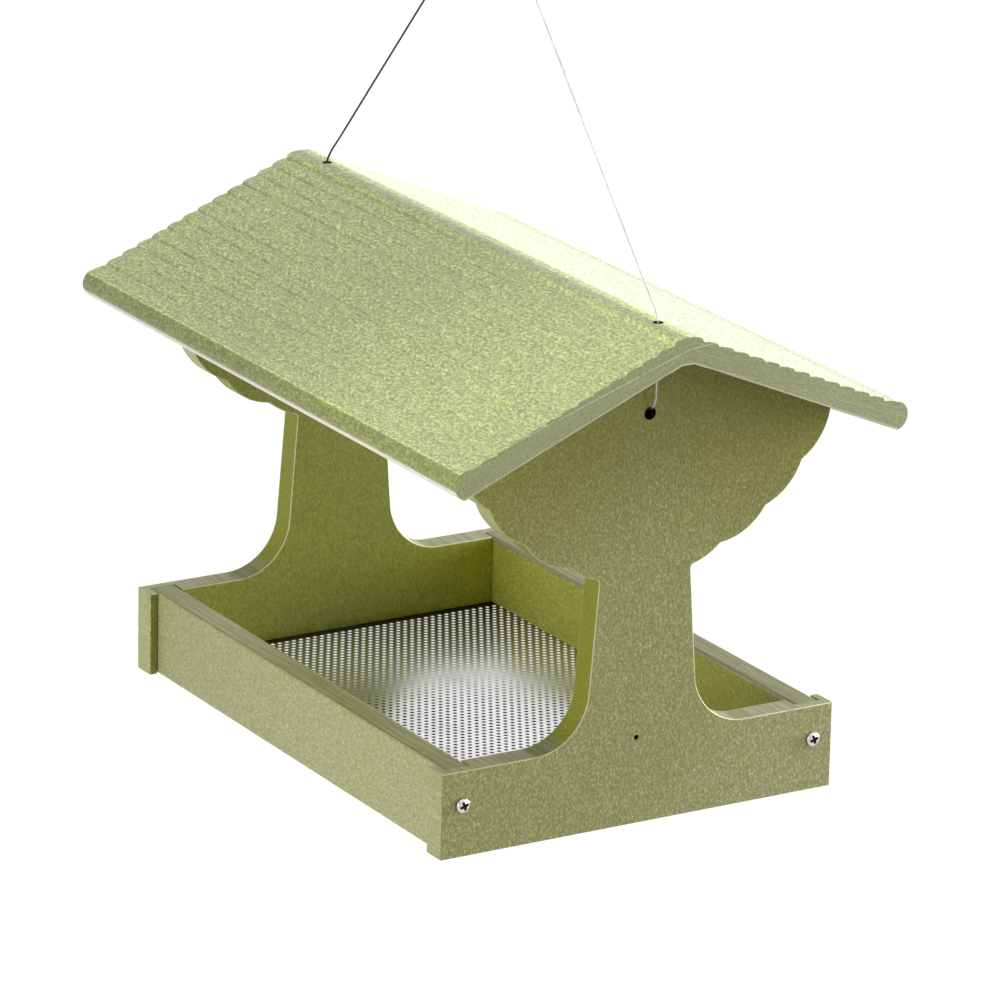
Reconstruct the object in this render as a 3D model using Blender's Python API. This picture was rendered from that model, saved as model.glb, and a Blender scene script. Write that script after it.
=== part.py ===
"""Fly-through bird feeder that hangs on a wire cable.

Two scallop-headed end panels stand in a shallow tray of two long rails with a perforated metal floor. A
shingled roof extrusion lies on the sloped tops of the panels. One cable runs up from a stop inside each end
panel, through a hole in the roof, to the hook that carries the feeder. The roof slides up on the cable when
the feeder is filled or cleaned.

Units are metres, with +Z up and +X along the ridge. The origin is the point where the cable hangs on its
hook. Heights on the feeder are measured from the underside of the tray.
"""

import math

import bmesh
import bpy
from mathutils import Matrix, Vector

# Clearances
SEAT_GAP = 0.0003
DADO_CLEARANCE = 0.0006
SCREW_CLEARANCE = 0.0003

# Tray and boards
TRAY_LENGTH = 0.3556
TRAY_WIDTH = 0.2540
TRAY_HEIGHT = 0.0500
PANEL_THICKNESS = 0.0159
RAIL_THICKNESS = 0.0159
RAIL_INSET = 0.0050
RAIL_EASED_EDGE = 0.0020
DADO_DEPTH = 0.0095

# End panel above the tray
NECK_WIDTH = 0.0588
NECK_HEIGHT = 0.0968
NECK_FLARE = math.radians(4.4)
NOTCH_RADIUS = 0.0340
HEAD_HEIGHT = 0.1304
HEAD_CUSPS = ((0.0189, 0.0098), (0.0481, 0.0274), (0.0711, 0.0507))
HEAD_REACH = 0.0893
SCALLOP_RADIUS = 0.0380
ROUTER_RADIUS = 0.0026
PILOT_MARK_DIAMETER = 0.0030
PILOT_MARK_DEPTH = 0.0080
PILOT_MARK_HEIGHT = 0.0510
PILOT_MARK_OFFSET = 0.0029

# Roof
ROOF_LENGTH = 0.4300
ROOF_PITCH = math.atan(0.42)
ROOF_THICKNESS = 0.0133
ROOF_INNER_FLAT = 0.0080
SHINGLE_COUNT = 13
SHINGLE_PITCH = 0.0108
SHINGLE_RISE = 0.0013
SHINGLE_CREST = 0.74
RIDGE_CAP_WIDTH = 0.0190
RIDGE_CAP_RISE = 0.0036
RIDGE_CAP_FULLNESS = 0.80
EAVE_LIP = 0.0124
EAVE_LIP_RISE = 0.0021
EAVE_FOOT = 0.0155
EAVE_BULGE = 0.0049

# Perforated floor
SHEET_THICKNESS = 0.0012
SHEET_HEIGHT = 0.0075
GROOVE_DEPTH = 0.0050
FLOOR_HOLE = 0.0100
FLOOR_PITCH = 0.0160
FLOOR_END_MARGIN = 0.0120
FLOOR_SIDE_MARGIN = 0.0090

# Screws
SCREW_HEAD_DIAMETER = 0.0083
SCREW_HEAD_RIM = 0.0010
SCREW_HEAD_CROWN = 0.0014
SCREW_SHANK_DIAMETER = 0.0042
SCREW_LENGTH = 0.0320
SCREW_POINT = 0.0040
SCREW_HEIGHT = 0.0304
RECESS_SPAN = 0.0046
RECESS_WIDTH = 0.0011
RECESS_DEPTH = 0.0013

# Cable and its fittings
CABLE_DIAMETER = 0.0012
CABLE_STANDOFF = 0.0054
LOOP_RISE = 0.2005
ROOF_HOLE = 0.0060
PANEL_HOLE = 0.0074
PANEL_HOLE_DROP = 0.0388
CABLE_LIFT_IN_HOLE = 0.0018
WASHER_DIAMETER = 0.0120
WASHER_BORE = 0.0024
WASHER_THICKNESS = 0.0010
STOP_DIAMETER = 0.0040
STOP_BORE = 0.0018
STOP_LENGTH = 0.0070
CABLE_END = 0.0015
CABLE_SPACING = 0.0080
BEND_SPACING = 0.0024

# Heights and half widths that follow from these
RAIL_FACE = TRAY_WIDTH / 2 - RAIL_INSET
RAIL_CENTRE = RAIL_FACE - RAIL_THICKNESS / 2
PANEL_FACE = TRAY_LENGTH / 2
PANEL_INNER_FACE = PANEL_FACE - PANEL_THICKNESS
NECK_TOP = TRAY_HEIGHT + NECK_HEIGHT
PANEL_APEX = NECK_TOP + HEAD_HEIGHT
ROOF_INNER_APEX = PANEL_APEX + SEAT_GAP / math.cos(ROOF_PITCH)
VALLEY_APEX = ROOF_INNER_APEX + ROOF_THICKNESS / math.cos(ROOF_PITCH)
FIRST_VALLEY = VALLEY_APEX - RIDGE_CAP_WIDTH / 2 * math.tan(ROOF_PITCH)
RIDGE_TOP = FIRST_VALLEY + RIDGE_CAP_RISE
HANG_HEIGHT = RIDGE_TOP + LOOP_RISE
PANEL_HOLE_HEIGHT = PANEL_APEX - PANEL_HOLE_DROP
ROOF_HOLE_PLACE = PANEL_FACE + CABLE_STANDOFF

# The cable's way from its roof hole to the hook, as distances from the hook: out along X, and down
LOOP_ROUTE = (
    (0.0000, 0.0000),
    (0.0034, 0.0013),
    (0.0070, 0.0049),
    (0.0410, 0.0425),
    (0.0850, 0.0905),
    (0.1290, 0.1385),
    (0.1660, 0.1790),
    (0.1775, 0.1912),
)
# The cable's way from its stop to below the roof, as distances out along X from the panel's outer face, and
# up from the middle of the panel's hole
TAIL_ROUTE = (
    (-0.0159, 0.0018),
    (-0.0080, 0.0018),
    (-0.0010, 0.0022),
    (0.0032, 0.0048),
    (0.0052, 0.0096),
)

# Colours, as linear red, green and blue
PANEL_COLOUR = (0.18, 0.20, 0.055)
ROOF_COLOUR = (0.44, 0.49, 0.20)
STEEL_COLOUR = (0.62, 0.62, 0.60)
SHEET_COLOUR = (0.70, 0.70, 0.69)


def plane_point(y, z):
    """A point of an outline, which lies in a plane across the ridge."""
    return Vector((y, z))


def arc(start, end, bulge, steps):
    """The points after start on the round stretch to end, which stands out to the right by bulge."""
    chord = end - start
    half = chord.length / 2
    radius = (half**2 + bulge**2) / (2 * bulge)
    outward = Vector((chord.y, -chord.x)).normalized()
    centre = (start + end) / 2 + outward * (bulge - radius)
    sweep = 2 * math.asin(half / radius)
    return [centre + Matrix.Rotation(sweep * i / steps, 2) @ (start - centre) for i in range(1, steps + 1)]


def bulge_of(start, end, radius):
    """How far an arc of this radius stands out from its chord."""
    half = (end - start).length / 2
    return radius - math.sqrt(radius**2 - half**2)


def both_sides(half):
    """A closed outline from its +Y half, listed from the bottom up and without points at y = 0."""
    return half + [Vector((-point.x, point.y)) for point in reversed(half)]


def routed(outline):
    """The outline with its inside corners rounded, as the router's bit leaves them."""
    eased = []
    for before, corner, after in zip(outline[-1:] + outline[:-1], outline, outline[1:] + outline[:1]):
        behind = (before - corner).normalized()
        ahead = (after - corner).normalized()
        opening = behind.angle(ahead)
        turns_inwards = behind.cross(ahead) > 0.0
        if not turns_inwards or math.pi - opening < math.radians(20):
            eased.append(corner)
            continue
        reach = ROUTER_RADIUS / math.tan(opening / 2)
        start = corner + behind * reach
        end = corner + ahead * reach
        eased += [start] + arc(start, end, -bulge_of(start, end, ROUTER_RADIUS), 4)
    return eased


def principled(name, colour, roughness, metallic):
    material = bpy.data.materials.new(name)
    material.use_nodes = True
    shader = material.node_tree.nodes["Principled BSDF"]
    shader.inputs["Base Color"].default_value = (*colour, 1.0)
    shader.inputs["Roughness"].default_value = roughness
    shader.inputs["Metallic"].default_value = metallic
    material.diffuse_color = (*colour, 1.0)
    return material


def plastic(obj, colour):
    obj.data.materials.append(principled(f"{obj.name}_plastic", colour, 0.55, 0.0))


def steel(obj, colour=STEEL_COLOUR):
    obj.data.materials.append(principled(f"{obj.name}_steel", colour, 0.30, 1.0))


def new_object(name, data, parent, location=(0.0, 0.0, 0.0), rotation=(0.0, 0.0, 0.0)):
    obj = bpy.data.objects.new(name, data)
    bpy.context.scene.collection.objects.link(obj)
    obj.parent = parent
    obj.location = location
    obj.rotation_euler = rotation
    return obj


def mesh_from(name, bm, smooth_below=None):
    """The finished mesh of bm, shaded smooth across edges that bend less than the angle given."""
    bmesh.ops.recalc_face_normals(bm, faces=bm.faces)
    mesh = bpy.data.meshes.new(name)
    bm.to_mesh(mesh)
    bm.free()
    if smooth_below is not None:
        mesh.shade_smooth()
        mesh.set_sharp_from_angle(angle=smooth_below)
    return mesh


def extruded(outline, start, end):
    """A solid of the outline, from x = start to x = end."""
    bm = bmesh.new()
    face = bm.faces.new([bm.verts.new((start, point.x, point.y)) for point in outline])
    pushed = bmesh.ops.extrude_face_region(bm, geom=[face])
    moved = [item for item in pushed["geom"] if isinstance(item, bmesh.types.BMVert)]
    bmesh.ops.translate(bm, verts=moved, vec=(end - start, 0.0, 0.0))
    return bm


def block(low, high):
    """A box between two corners."""
    bm = bmesh.new()
    size = Vector(high) - Vector(low)
    middle = (Vector(high) + Vector(low)) / 2
    bmesh.ops.create_cube(bm, size=1.0, matrix=Matrix.Translation(middle) @ Matrix.Diagonal((*size, 1.0)))
    return bm


def add_rod(bm, radius, start, end, sides):
    """Adds a round bar between two points to bm."""
    way = Vector(end) - Vector(start)
    turn = way.to_track_quat("Z", "Y").to_matrix().to_4x4()
    place = Matrix.Translation((Vector(start) + Vector(end)) / 2) @ turn
    bmesh.ops.create_cone(bm, cap_ends=True, segments=sides, radius1=radius, radius2=radius,
                          depth=way.length, matrix=place)


def rod(radius, start, end, sides):
    bm = bmesh.new()
    add_rod(bm, radius, start, end, sides)
    return bm


def turned(profile, steps):
    """A solid of revolution about Z from (radius, height) points that start and end on the axis."""
    bm = bmesh.new()
    verts = [bm.verts.new((point.x, 0.0, point.y)) for point in profile]
    edges = [bm.edges.new(pair) for pair in zip(verts, verts[1:])]
    bmesh.ops.spin(bm, geom=verts + edges, axis=(0.0, 0.0, 1.0), cent=(0.0, 0.0, 0.0), dvec=(0.0, 0.0, 0.0),
                   angle=math.tau, steps=steps, use_merge=True)
    bmesh.ops.remove_doubles(bm, verts=bm.verts, dist=1e-6)
    return bm


def cut(target, name, bm):
    """Takes the solid of bm, which is in the target's own frame, out of the target."""
    cutter = new_object(f"{target.name}_{name}_cutter", mesh_from(name, bm), target)
    cutter.hide_render = True
    cutter.display_type = "WIRE"
    boolean = target.modifiers.new(name, "BOOLEAN")
    boolean.operation = "DIFFERENCE"
    boolean.solver = "EXACT"
    boolean.object = cutter


def panel_outline():
    """The end panel's outline: foot, notch, flared neck, scalloped head and roof slope."""
    slope = math.tan(ROOF_PITCH)
    neck_top = plane_point(NECK_WIDTH / 2, NECK_TOP)
    notch_height = TRAY_HEIGHT + NOTCH_RADIUS
    neck_at_notch = NECK_WIDTH / 2 + (NECK_TOP - notch_height) * math.tan(NECK_FLARE)
    notch_centre = plane_point(neck_at_notch + NOTCH_RADIUS / math.cos(NECK_FLARE), notch_height)
    notch_start = notch_centre - plane_point(0.0, NOTCH_RADIUS)
    notch_end = notch_centre - NOTCH_RADIUS * plane_point(math.cos(NECK_FLARE), math.sin(NECK_FLARE))
    head_end = NECK_WIDTH / 2 + HEAD_REACH
    cusps = [neck_top + plane_point(*cusp) for cusp in HEAD_CUSPS]
    cusps.append(plane_point(head_end, PANEL_APEX - slope * head_end))
    inner_flat = ROOF_INNER_FLAT / 2
    half = [plane_point(TRAY_WIDTH / 2, 0.0), plane_point(TRAY_WIDTH / 2, TRAY_HEIGHT), notch_start]
    half += arc(notch_start, notch_end, -bulge_of(notch_start, notch_end, NOTCH_RADIUS), 10)
    half.append(neck_top)
    for start, end in zip([neck_top] + cusps, cusps):
        half += arc(start, end, bulge_of(start, end, SCALLOP_RADIUS), 6)
    half.append(plane_point(inner_flat, PANEL_APEX - slope * inner_flat))
    return routed(both_sides(half))


def end_panel(name, side, parent):
    """An end panel. Its own frame has x = 0 on the outer face and the panel on the -X side of it."""
    turn = 0.0 if side > 0 else math.pi
    mesh = mesh_from(name, extruded(panel_outline(), -PANEL_THICKNESS, 0.0), math.radians(25))
    panel = new_object(name, mesh, parent, (side * PANEL_FACE, 0.0, 0.0), (0.0, 0.0, turn))
    past = PANEL_THICKNESS
    inner = -PANEL_THICKNESS
    for hand, label in ((-1, "front"), (1, "back")):
        near = RAIL_FACE - RAIL_THICKNESS - DADO_CLEARANCE
        far = RAIL_FACE + DADO_CLEARANCE
        y_low, y_high = sorted((hand * near, hand * far))
        cut(panel, f"{label}_dado", block((inner - past, y_low, -past),
                                          (inner + DADO_DEPTH, y_high, TRAY_HEIGHT + past)))
        screw_line = hand * RAIL_CENTRE
        cut(panel, f"{label}_screw_hole", rod(SCREW_SHANK_DIAMETER / 2 + SCREW_CLEARANCE,
                                              (inner - past, screw_line, SCREW_HEIGHT),
                                              (past, screw_line, SCREW_HEIGHT), 24))
    groove_end = RAIL_FACE - RAIL_THICKNESS + GROOVE_DEPTH
    cut(panel, "floor_groove", block((inner - past, -groove_end, SHEET_HEIGHT - SEAT_GAP),
                                     (inner + GROOVE_DEPTH, groove_end,
                                      SHEET_HEIGHT + SHEET_THICKNESS + SEAT_GAP)))
    cut(panel, "cable_hole", rod(PANEL_HOLE / 2, (inner - past, 0.0, PANEL_HOLE_HEIGHT),
                                 (past, 0.0, PANEL_HOLE_HEIGHT), 32))
    mark_line = -side * PILOT_MARK_OFFSET
    cut(panel, "pilot_mark", rod(PILOT_MARK_DIAMETER / 2, (-PILOT_MARK_DEPTH, mark_line, PILOT_MARK_HEIGHT),
                                 (past, mark_line, PILOT_MARK_HEIGHT), 16))
    plastic(panel, PANEL_COLOUR)


def side_rail(name, side, parent):
    """A long rail. Its own frame has y = 0 on the outer face and the rail on the +Y side of it."""
    turn = 0.0 if side < 0 else math.pi
    half_length = PANEL_INNER_FACE + DADO_DEPTH - SEAT_GAP
    bm = block((-half_length, 0.0, 0.0), (half_length, RAIL_THICKNESS, TRAY_HEIGHT))
    long_edges = [edge for edge in bm.edges if abs(edge.verts[0].co.x - edge.verts[1].co.x) > half_length]
    bmesh.ops.bevel(bm, geom=long_edges, offset=RAIL_EASED_EDGE, segments=4, profile=0.5, affect="EDGES")
    mesh = mesh_from(name, bm, math.radians(30))
    rail = new_object(name, mesh, parent, (0.0, side * RAIL_FACE, 0.0), (0.0, 0.0, turn))
    past = RAIL_THICKNESS
    cut(rail, "floor_groove", block((-half_length - past, RAIL_THICKNESS - GROOVE_DEPTH,
                                     SHEET_HEIGHT - SEAT_GAP),
                                    (half_length + past, RAIL_THICKNESS + past,
                                     SHEET_HEIGHT + SHEET_THICKNESS + SEAT_GAP)))
    screw_tip = PANEL_FACE + SEAT_GAP - SCREW_LENGTH
    for hand, label in ((-1, "left"), (1, "right")):
        hole_foot = (hand * (screw_tip - SCREW_POINT), RAIL_THICKNESS / 2, SCREW_HEIGHT)
        hole_mouth = (hand * (half_length + past), RAIL_THICKNESS / 2, SCREW_HEIGHT)
        cut(rail, f"{label}_pilot_hole", rod(SCREW_SHANK_DIAMETER / 2 + SCREW_CLEARANCE, hole_foot,
                                             hole_mouth, 24))
    plastic(rail, PANEL_COLOUR)


def mesh_floor(parent):
    """The floor: a sheet with rows of staggered holes, whose edges lie in the grooves of the tray."""
    half_length = PANEL_INNER_FACE + GROOVE_DEPTH - SEAT_GAP
    half_width = RAIL_FACE - RAIL_THICKNESS + GROOVE_DEPTH - SEAT_GAP
    sheet_mesh = mesh_from("mesh_floor", block((-half_length, -half_width, 0.0),
                                               (half_length, half_width, SHEET_THICKNESS)))
    sheet = new_object("mesh_floor", sheet_mesh, parent, (0.0, 0.0, SHEET_HEIGHT))
    row_step = FLOOR_PITCH * math.sqrt(3) / 2
    rows = int(2 * (PANEL_INNER_FACE - FLOOR_END_MARGIN) / row_step)
    clear_width = 2 * (RAIL_FACE - RAIL_THICKNESS - FLOOR_SIDE_MARGIN)
    punches = bmesh.new()
    for row in range(rows + 1):
        x = (row - rows / 2) * row_step
        holes = int(clear_width / FLOOR_PITCH) - row % 2
        for hole in range(holes + 1):
            y = (hole - holes / 2) * FLOOR_PITCH
            add_rod(punches, FLOOR_HOLE / 2, (x, y, -SHEET_THICKNESS), (x, y, 2 * SHEET_THICKNESS), 6)
    cut(sheet, "perforation", punches)
    steel(sheet, SHEET_COLOUR)


def roof_outline():
    """The roof's section, from the underside out to the eave and back over the shingles to the ridge."""
    slope = math.tan(ROOF_PITCH)
    first = RIDGE_CAP_WIDTH / 2

    def on_slope(along, above):
        """A point by its distances from the first valley: down the slope, and square to it."""
        y = first + along * math.cos(ROOF_PITCH) + above * math.sin(ROOF_PITCH)
        return plane_point(y, FIRST_VALLEY - along * math.sin(ROOF_PITCH) + above * math.cos(ROOF_PITCH))

    inner_flat = ROOF_INNER_FLAT / 2
    last_valley = (SHINGLE_COUNT - 1) * SHINGLE_PITCH
    foot = on_slope(last_valley + EAVE_FOOT, -ROOF_THICKNESS)
    lip = on_slope(last_valley + EAVE_LIP, EAVE_LIP_RISE)
    half = [plane_point(inner_flat, ROOF_INNER_APEX - slope * inner_flat), foot]
    half += arc(foot, lip, EAVE_BULGE, 10)
    lip_steps = 4
    for step in range(lip_steps - 1, 0, -1):
        share = step / lip_steps
        half.append(on_slope(last_valley + EAVE_LIP * share, EAVE_LIP_RISE * math.sin(math.pi / 2 * share)))
    crest = SHINGLE_CREST * SHINGLE_PITCH
    steps = 3
    for shingle in range(SHINGLE_COUNT - 1, 0, -1):
        top = (shingle - 1) * SHINGLE_PITCH
        for step in range(steps, 0, -1):
            turn = math.pi / 2 * step / steps
            nose = (SHINGLE_PITCH - crest) * math.sin(turn)
            half.append(on_slope(top + crest + nose, SHINGLE_RISE * math.cos(turn)))
        for step in range(steps, 0, -1):
            share = step / steps
            half.append(on_slope(top + crest * share, SHINGLE_RISE * math.sin(math.pi / 2 * share)))
    half.append(on_slope(0.0, 0.0))
    cap_steps = 7
    for step in range(1, cap_steps + 1):
        turn = math.pi / 2 * (step - 0.5) / cap_steps
        out = first * math.cos(turn) ** RIDGE_CAP_FULLNESS
        half.append(plane_point(out, FIRST_VALLEY + RIDGE_CAP_RISE * math.sin(turn) ** RIDGE_CAP_FULLNESS))
    return both_sides(half)


def roof(parent):
    """The roof, whose origin is on the vertical line through the hook, along which it slides."""
    seat = ROOF_INNER_APEX
    outline = [point - plane_point(0.0, seat) for point in roof_outline()]
    mesh = mesh_from("roof", extruded(outline, -ROOF_LENGTH / 2, ROOF_LENGTH / 2), math.radians(35))
    board = new_object("roof", mesh, parent, (0.0, 0.0, seat))
    for hand, label in ((-1, "left"), (1, "right")):
        place = hand * ROOF_HOLE_PLACE
        cut(board, f"{label}_cable_hole", rod(ROOF_HOLE / 2, (place, 0.0, -2 * ROOF_THICKNESS),
                                              (place, 0.0, 3 * ROOF_THICKNESS), 24))
    plastic(board, ROOF_COLOUR)


def screw(name, x_side, y_side, parent):
    """A pan-head screw. Its own frame has z = 0 under the head and the shank down -Z."""
    rim = plane_point(SCREW_HEAD_DIAMETER / 2, SCREW_HEAD_RIM)
    top = plane_point(0.0, SCREW_HEAD_RIM + SCREW_HEAD_CROWN)
    far_rim = plane_point(-rim.x, rim.y)
    crown = [point for point in arc(rim, far_rim, SCREW_HEAD_CROWN, 10) if point.x > 1e-6]
    shank = SCREW_SHANK_DIAMETER / 2
    profile = [top, *reversed(crown), rim, plane_point(rim.x, 0.0), plane_point(shank, 0.0),
               plane_point(shank, SCREW_POINT - SCREW_LENGTH), plane_point(0.0, -SCREW_LENGTH)]
    mesh = mesh_from(name, turned(profile, 16), math.radians(40))
    place = (x_side * (PANEL_FACE + SEAT_GAP), y_side * RAIL_CENTRE, SCREW_HEIGHT)
    fastener = new_object(name, mesh, parent, place, (0.0, x_side * math.pi / 2, 0.0))
    span = RECESS_SPAN / 2
    arm = RECESS_WIDTH / 2
    quarter = [plane_point(span, -arm), plane_point(span, arm), plane_point(arm, arm)]
    cross = [Matrix.Rotation(turn * math.pi / 2, 2) @ point for turn in range(4) for point in quarter]
    recess = extruded(cross, 0.0, 2 * RECESS_DEPTH)
    bmesh.ops.rotate(recess, verts=recess.verts, cent=(0.0, 0.0, 0.0),
                     matrix=Matrix.Rotation(-math.pi / 2, 3, "Y"))
    bmesh.ops.translate(recess, verts=recess.verts, vec=(0.0, 0.0, top.y - RECESS_DEPTH))
    cut(fastener, "recess", recess)
    steel(fastener)


def smooth_way(route, spacing):
    """Points about this far apart on a smooth curve through the route's points."""
    ends = [2 * route[0] - route[1], *route, 2 * route[-1] - route[-2]]
    way = [route[0]]
    for before, start, end, after in zip(ends, ends[1:], ends[2:], ends[3:]):
        steps = max(2, round((end - start).length / spacing))
        for step in range(1, steps + 1):
            t = step / steps
            way.append(0.5 * (2 * start + (end - before) * t
                              + (2 * before - 5 * start + 4 * end - after) * t**2
                              + (3 * start - before - 3 * end + after) * t**3))
    return way


def cable(name, way, parent):
    """A round cable along the points of way."""
    curve = bpy.data.curves.new(name, "CURVE")
    curve.dimensions = "3D"
    curve.bevel_depth = CABLE_DIAMETER / 2
    curve.bevel_resolution = 2
    curve.use_fill_caps = True
    spline = curve.splines.new("POLY")
    spline.points.add(len(way) - 1)
    for point, place in zip(spline.points, way):
        point.co = (*place, 1.0)
    steel(new_object(name, curve, parent))


def hanging_cable(parent):
    """The loop over the hook, from just above one roof hole to just above the other."""
    exit_height = RIDGE_TOP + SEAT_GAP / 2
    bend = Vector((ROOF_HOLE_PLACE - 0.0006, 0.0, exit_height + 0.0022))
    half = [Vector((out, 0.0, HANG_HEIGHT - down)) for out, down in LOOP_ROUTE]
    half += [bend, Vector((ROOF_HOLE_PLACE, 0.0, exit_height))]
    route = [Vector((-point.x, point.y, point.z)) for point in reversed(half)] + half[1:]
    cable("hanging_cable", smooth_way(route, CABLE_SPACING), parent)


def cable_tail(name, side, parent):
    """The cable from its end, past the stop and through the panel, up to the top of the roof hole."""
    stop_end = SEAT_GAP + WASHER_THICKNESS + SEAT_GAP + STOP_LENGTH
    inside = PANEL_INNER_FACE - stop_end - CABLE_END
    level = PANEL_HOLE_HEIGHT + CABLE_LIFT_IN_HOLE
    bends = [(PANEL_FACE + out, PANEL_HOLE_HEIGHT + up) for out, up in TAIL_ROUTE]
    top = RIDGE_TOP - SEAT_GAP / 2
    straight = [(ROOF_HOLE_PLACE, PANEL_HOLE_HEIGHT + 0.0150), (ROOF_HOLE_PLACE, top)]
    route = [Vector((side * x, 0.0, z)) for x, z in [(inside, level), *bends, *straight]]
    cable(name, smooth_way(route, BEND_SPACING), parent)


def ring(name, diameter, bore, start, end, parent):
    """A round piece with a bore, along X between two places on the line of the cable."""
    level = PANEL_HOLE_HEIGHT + CABLE_LIFT_IN_HOLE
    length = end - start
    mesh = mesh_from(name, rod(diameter / 2, (0.0, 0.0, 0.0), (length, 0.0, 0.0), 24), math.radians(35))
    body = new_object(name, mesh, parent, (start, 0.0, level))
    cut(body, "bore", rod(bore / 2, (-length, 0.0, 0.0), (2 * length, 0.0, 0.0), 16))
    steel(body)


def cable_fittings(label, side, parent):
    """The washer and the crimped stop on the inner face of an end panel."""
    washer_start = side * (PANEL_INNER_FACE - SEAT_GAP)
    washer_end = washer_start - side * WASHER_THICKNESS
    stop_start = washer_end - side * SEAT_GAP
    ring(f"{label}_cable_washer", WASHER_DIAMETER, WASHER_BORE, washer_start, washer_end, parent)
    stop_end = stop_start - side * STOP_LENGTH
    ring(f"{label}_cable_stop", STOP_DIAMETER, STOP_BORE, stop_start, stop_end, parent)


def main():
    for obj in list(bpy.data.objects):
        bpy.data.objects.remove(obj, do_unlink=True)
    feeder = new_object("feeder", None, None, (0.0, 0.0, -HANG_HEIGHT))
    for label, side in (("right", 1), ("left", -1)):
        end_panel(f"{label}_end_panel", side, feeder)
        cable_tail(f"{label}_cable_tail", side, feeder)
        cable_fittings(label, side, feeder)
        screw(f"{label}_front_screw", side, -1, feeder)
        screw(f"{label}_back_screw", side, 1, feeder)
    side_rail("front_side_rail", -1, feeder)
    side_rail("back_side_rail", 1, feeder)
    mesh_floor(feeder)
    roof(feeder)
    hanging_cable(feeder)


main()
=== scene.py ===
"""Looks of a fly-through bird feeder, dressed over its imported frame.

Two scallop-headed end panels stand in a shallow tray with a perforated metal floor, and a shingled roof
slides on the wire cable that everything hangs on. Sizes are in metres, +Z is up and +X runs along the ridge.
The origin is the point where the cable lies on its hook.
"""

from __future__ import annotations

import logging
import math
from collections.abc import Callable, Iterator, Sequence
from contextlib import contextmanager
from dataclasses import dataclass, replace
from enum import Enum

import bmesh
import bpy
from mathutils import Matrix, Vector

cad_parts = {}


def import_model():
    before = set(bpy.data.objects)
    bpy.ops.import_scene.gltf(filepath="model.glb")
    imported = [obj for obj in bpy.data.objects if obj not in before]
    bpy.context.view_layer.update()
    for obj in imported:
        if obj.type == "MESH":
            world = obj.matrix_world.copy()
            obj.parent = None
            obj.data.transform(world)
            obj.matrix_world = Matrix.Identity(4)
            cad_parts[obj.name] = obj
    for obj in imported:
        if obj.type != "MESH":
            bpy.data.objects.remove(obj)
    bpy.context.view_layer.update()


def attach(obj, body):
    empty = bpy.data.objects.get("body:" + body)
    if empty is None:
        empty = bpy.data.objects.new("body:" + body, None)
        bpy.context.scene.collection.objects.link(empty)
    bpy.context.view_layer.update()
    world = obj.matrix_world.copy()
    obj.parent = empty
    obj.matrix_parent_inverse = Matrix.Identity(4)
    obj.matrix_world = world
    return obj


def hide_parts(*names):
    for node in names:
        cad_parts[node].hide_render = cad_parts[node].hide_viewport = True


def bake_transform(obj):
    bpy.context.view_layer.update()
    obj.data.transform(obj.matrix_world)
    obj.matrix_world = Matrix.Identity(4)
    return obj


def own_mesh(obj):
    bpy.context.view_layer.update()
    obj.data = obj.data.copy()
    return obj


LOG = logging.getLogger("feeder")
Colour = tuple[float, float, float]
EdgeTest = Callable[[bmesh.types.BMEdge], bool]
Inputs = dict[str | int, object]
WHITE = (1.0, 1.0, 1.0)

# Heights are above the tray's underside, and faces and places are distances from the feeder's middle.
HANG_HEIGHT = 0.492061
SEAT_GAP = 0.0003
ROOF_INNER_APEX = 0.277525
ROOF_PITCH = math.atan(0.42)
BOARD = 0.0159
TRAY_HEIGHT = 0.0500
PANEL_FACE = 0.1778
RAIL_FACE = 0.1220
SCREW_HEIGHT = 0.0304
CABLE_HOLE_HEIGHT = 0.2384
CABLE_LIFT_IN_HOLE = 0.0018
CABLE_PLACE = 0.1832
CABLE_RISE = 0.2005
CAP_WIDTH = 0.0190
SHINGLE_PITCH = 0.0108
OVERCUT = 0.01
TOUCHING = 1e-6


class Side(Enum):
    """An end of the feeder, by the sign of its X."""

    RIGHT = 1
    LEFT = -1


class Flank(Enum):
    """A long side of the feeder, by the sign of its Y."""

    FRONT = -1
    BACK = 1


class Grain(Enum):
    """How the flecks of a board run, as noise cycles per metre along X, Y and Z."""

    UPRIGHT = (800.0, 800.0, 500.0)
    ALONG_RIDGE = (400.0, 600.0, 600.0)
    LENGTHWISE = (460.0, 760.0, 700.0)


class Surface(Enum):
    """A board's material slots."""

    FACE = 0
    # the eased edges, whose finish carries a painted highlight
    RUBBED_EDGE = 1
    CUT = 2
    # the sheltered faces, whose finish is a darker, richer copy of the face's: painted shade
    INNER = 3
    BORE = 4
    # the notch faces, with another darker copy: painted shade
    NOTCH = 5


class FloorSurface(Enum):
    """The material slots of the perforated floor, in order."""

    SHEET = 0
    MARGIN = 1
    WALL = 2


class ScrewSurface(Enum):
    """The material slots of a screw, in order."""

    STEEL = 0
    RECESS = 1


def deselect_all() -> None:
    """Leaves nothing selected, so that the next operator acts only on what it is given."""
    bpy.ops.object.select_all(action="DESELECT")


def make_active(obj: bpy.types.Object) -> None:
    """Selects one object alone and makes it the active one.

    Args:
        obj: The object that the next operator works on.
    """
    deselect_all()
    obj.select_set(True)
    bpy.context.view_layer.objects.active = obj


@contextmanager
def editing(obj: bpy.types.Object) -> Iterator[None]:
    """Holds an object in edit mode.

    Args:
        obj: The mesh object to edit.
    """
    make_active(obj)
    bpy.ops.object.mode_set(mode="EDIT")
    yield
    bpy.ops.object.mode_set(mode="OBJECT")


def pick_edges(obj: bpy.types.Object, test: EdgeTest) -> None:
    """Selects, in edit mode, the edges of a mesh that pass a test, and nothing else.

    Args:
        obj: The object in edit mode.
        test: Called with each edge.
    """
    bpy.ops.mesh.select_mode(type="EDGE")
    bpy.ops.mesh.select_all(action="DESELECT")
    bm = bmesh.from_edit_mesh(obj.data)
    for edge in bm.edges:
        if test(edge):
            edge.select_set(True)
    bm.select_flush_mode()
    bmesh.update_edit_mesh(obj.data)


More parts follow.
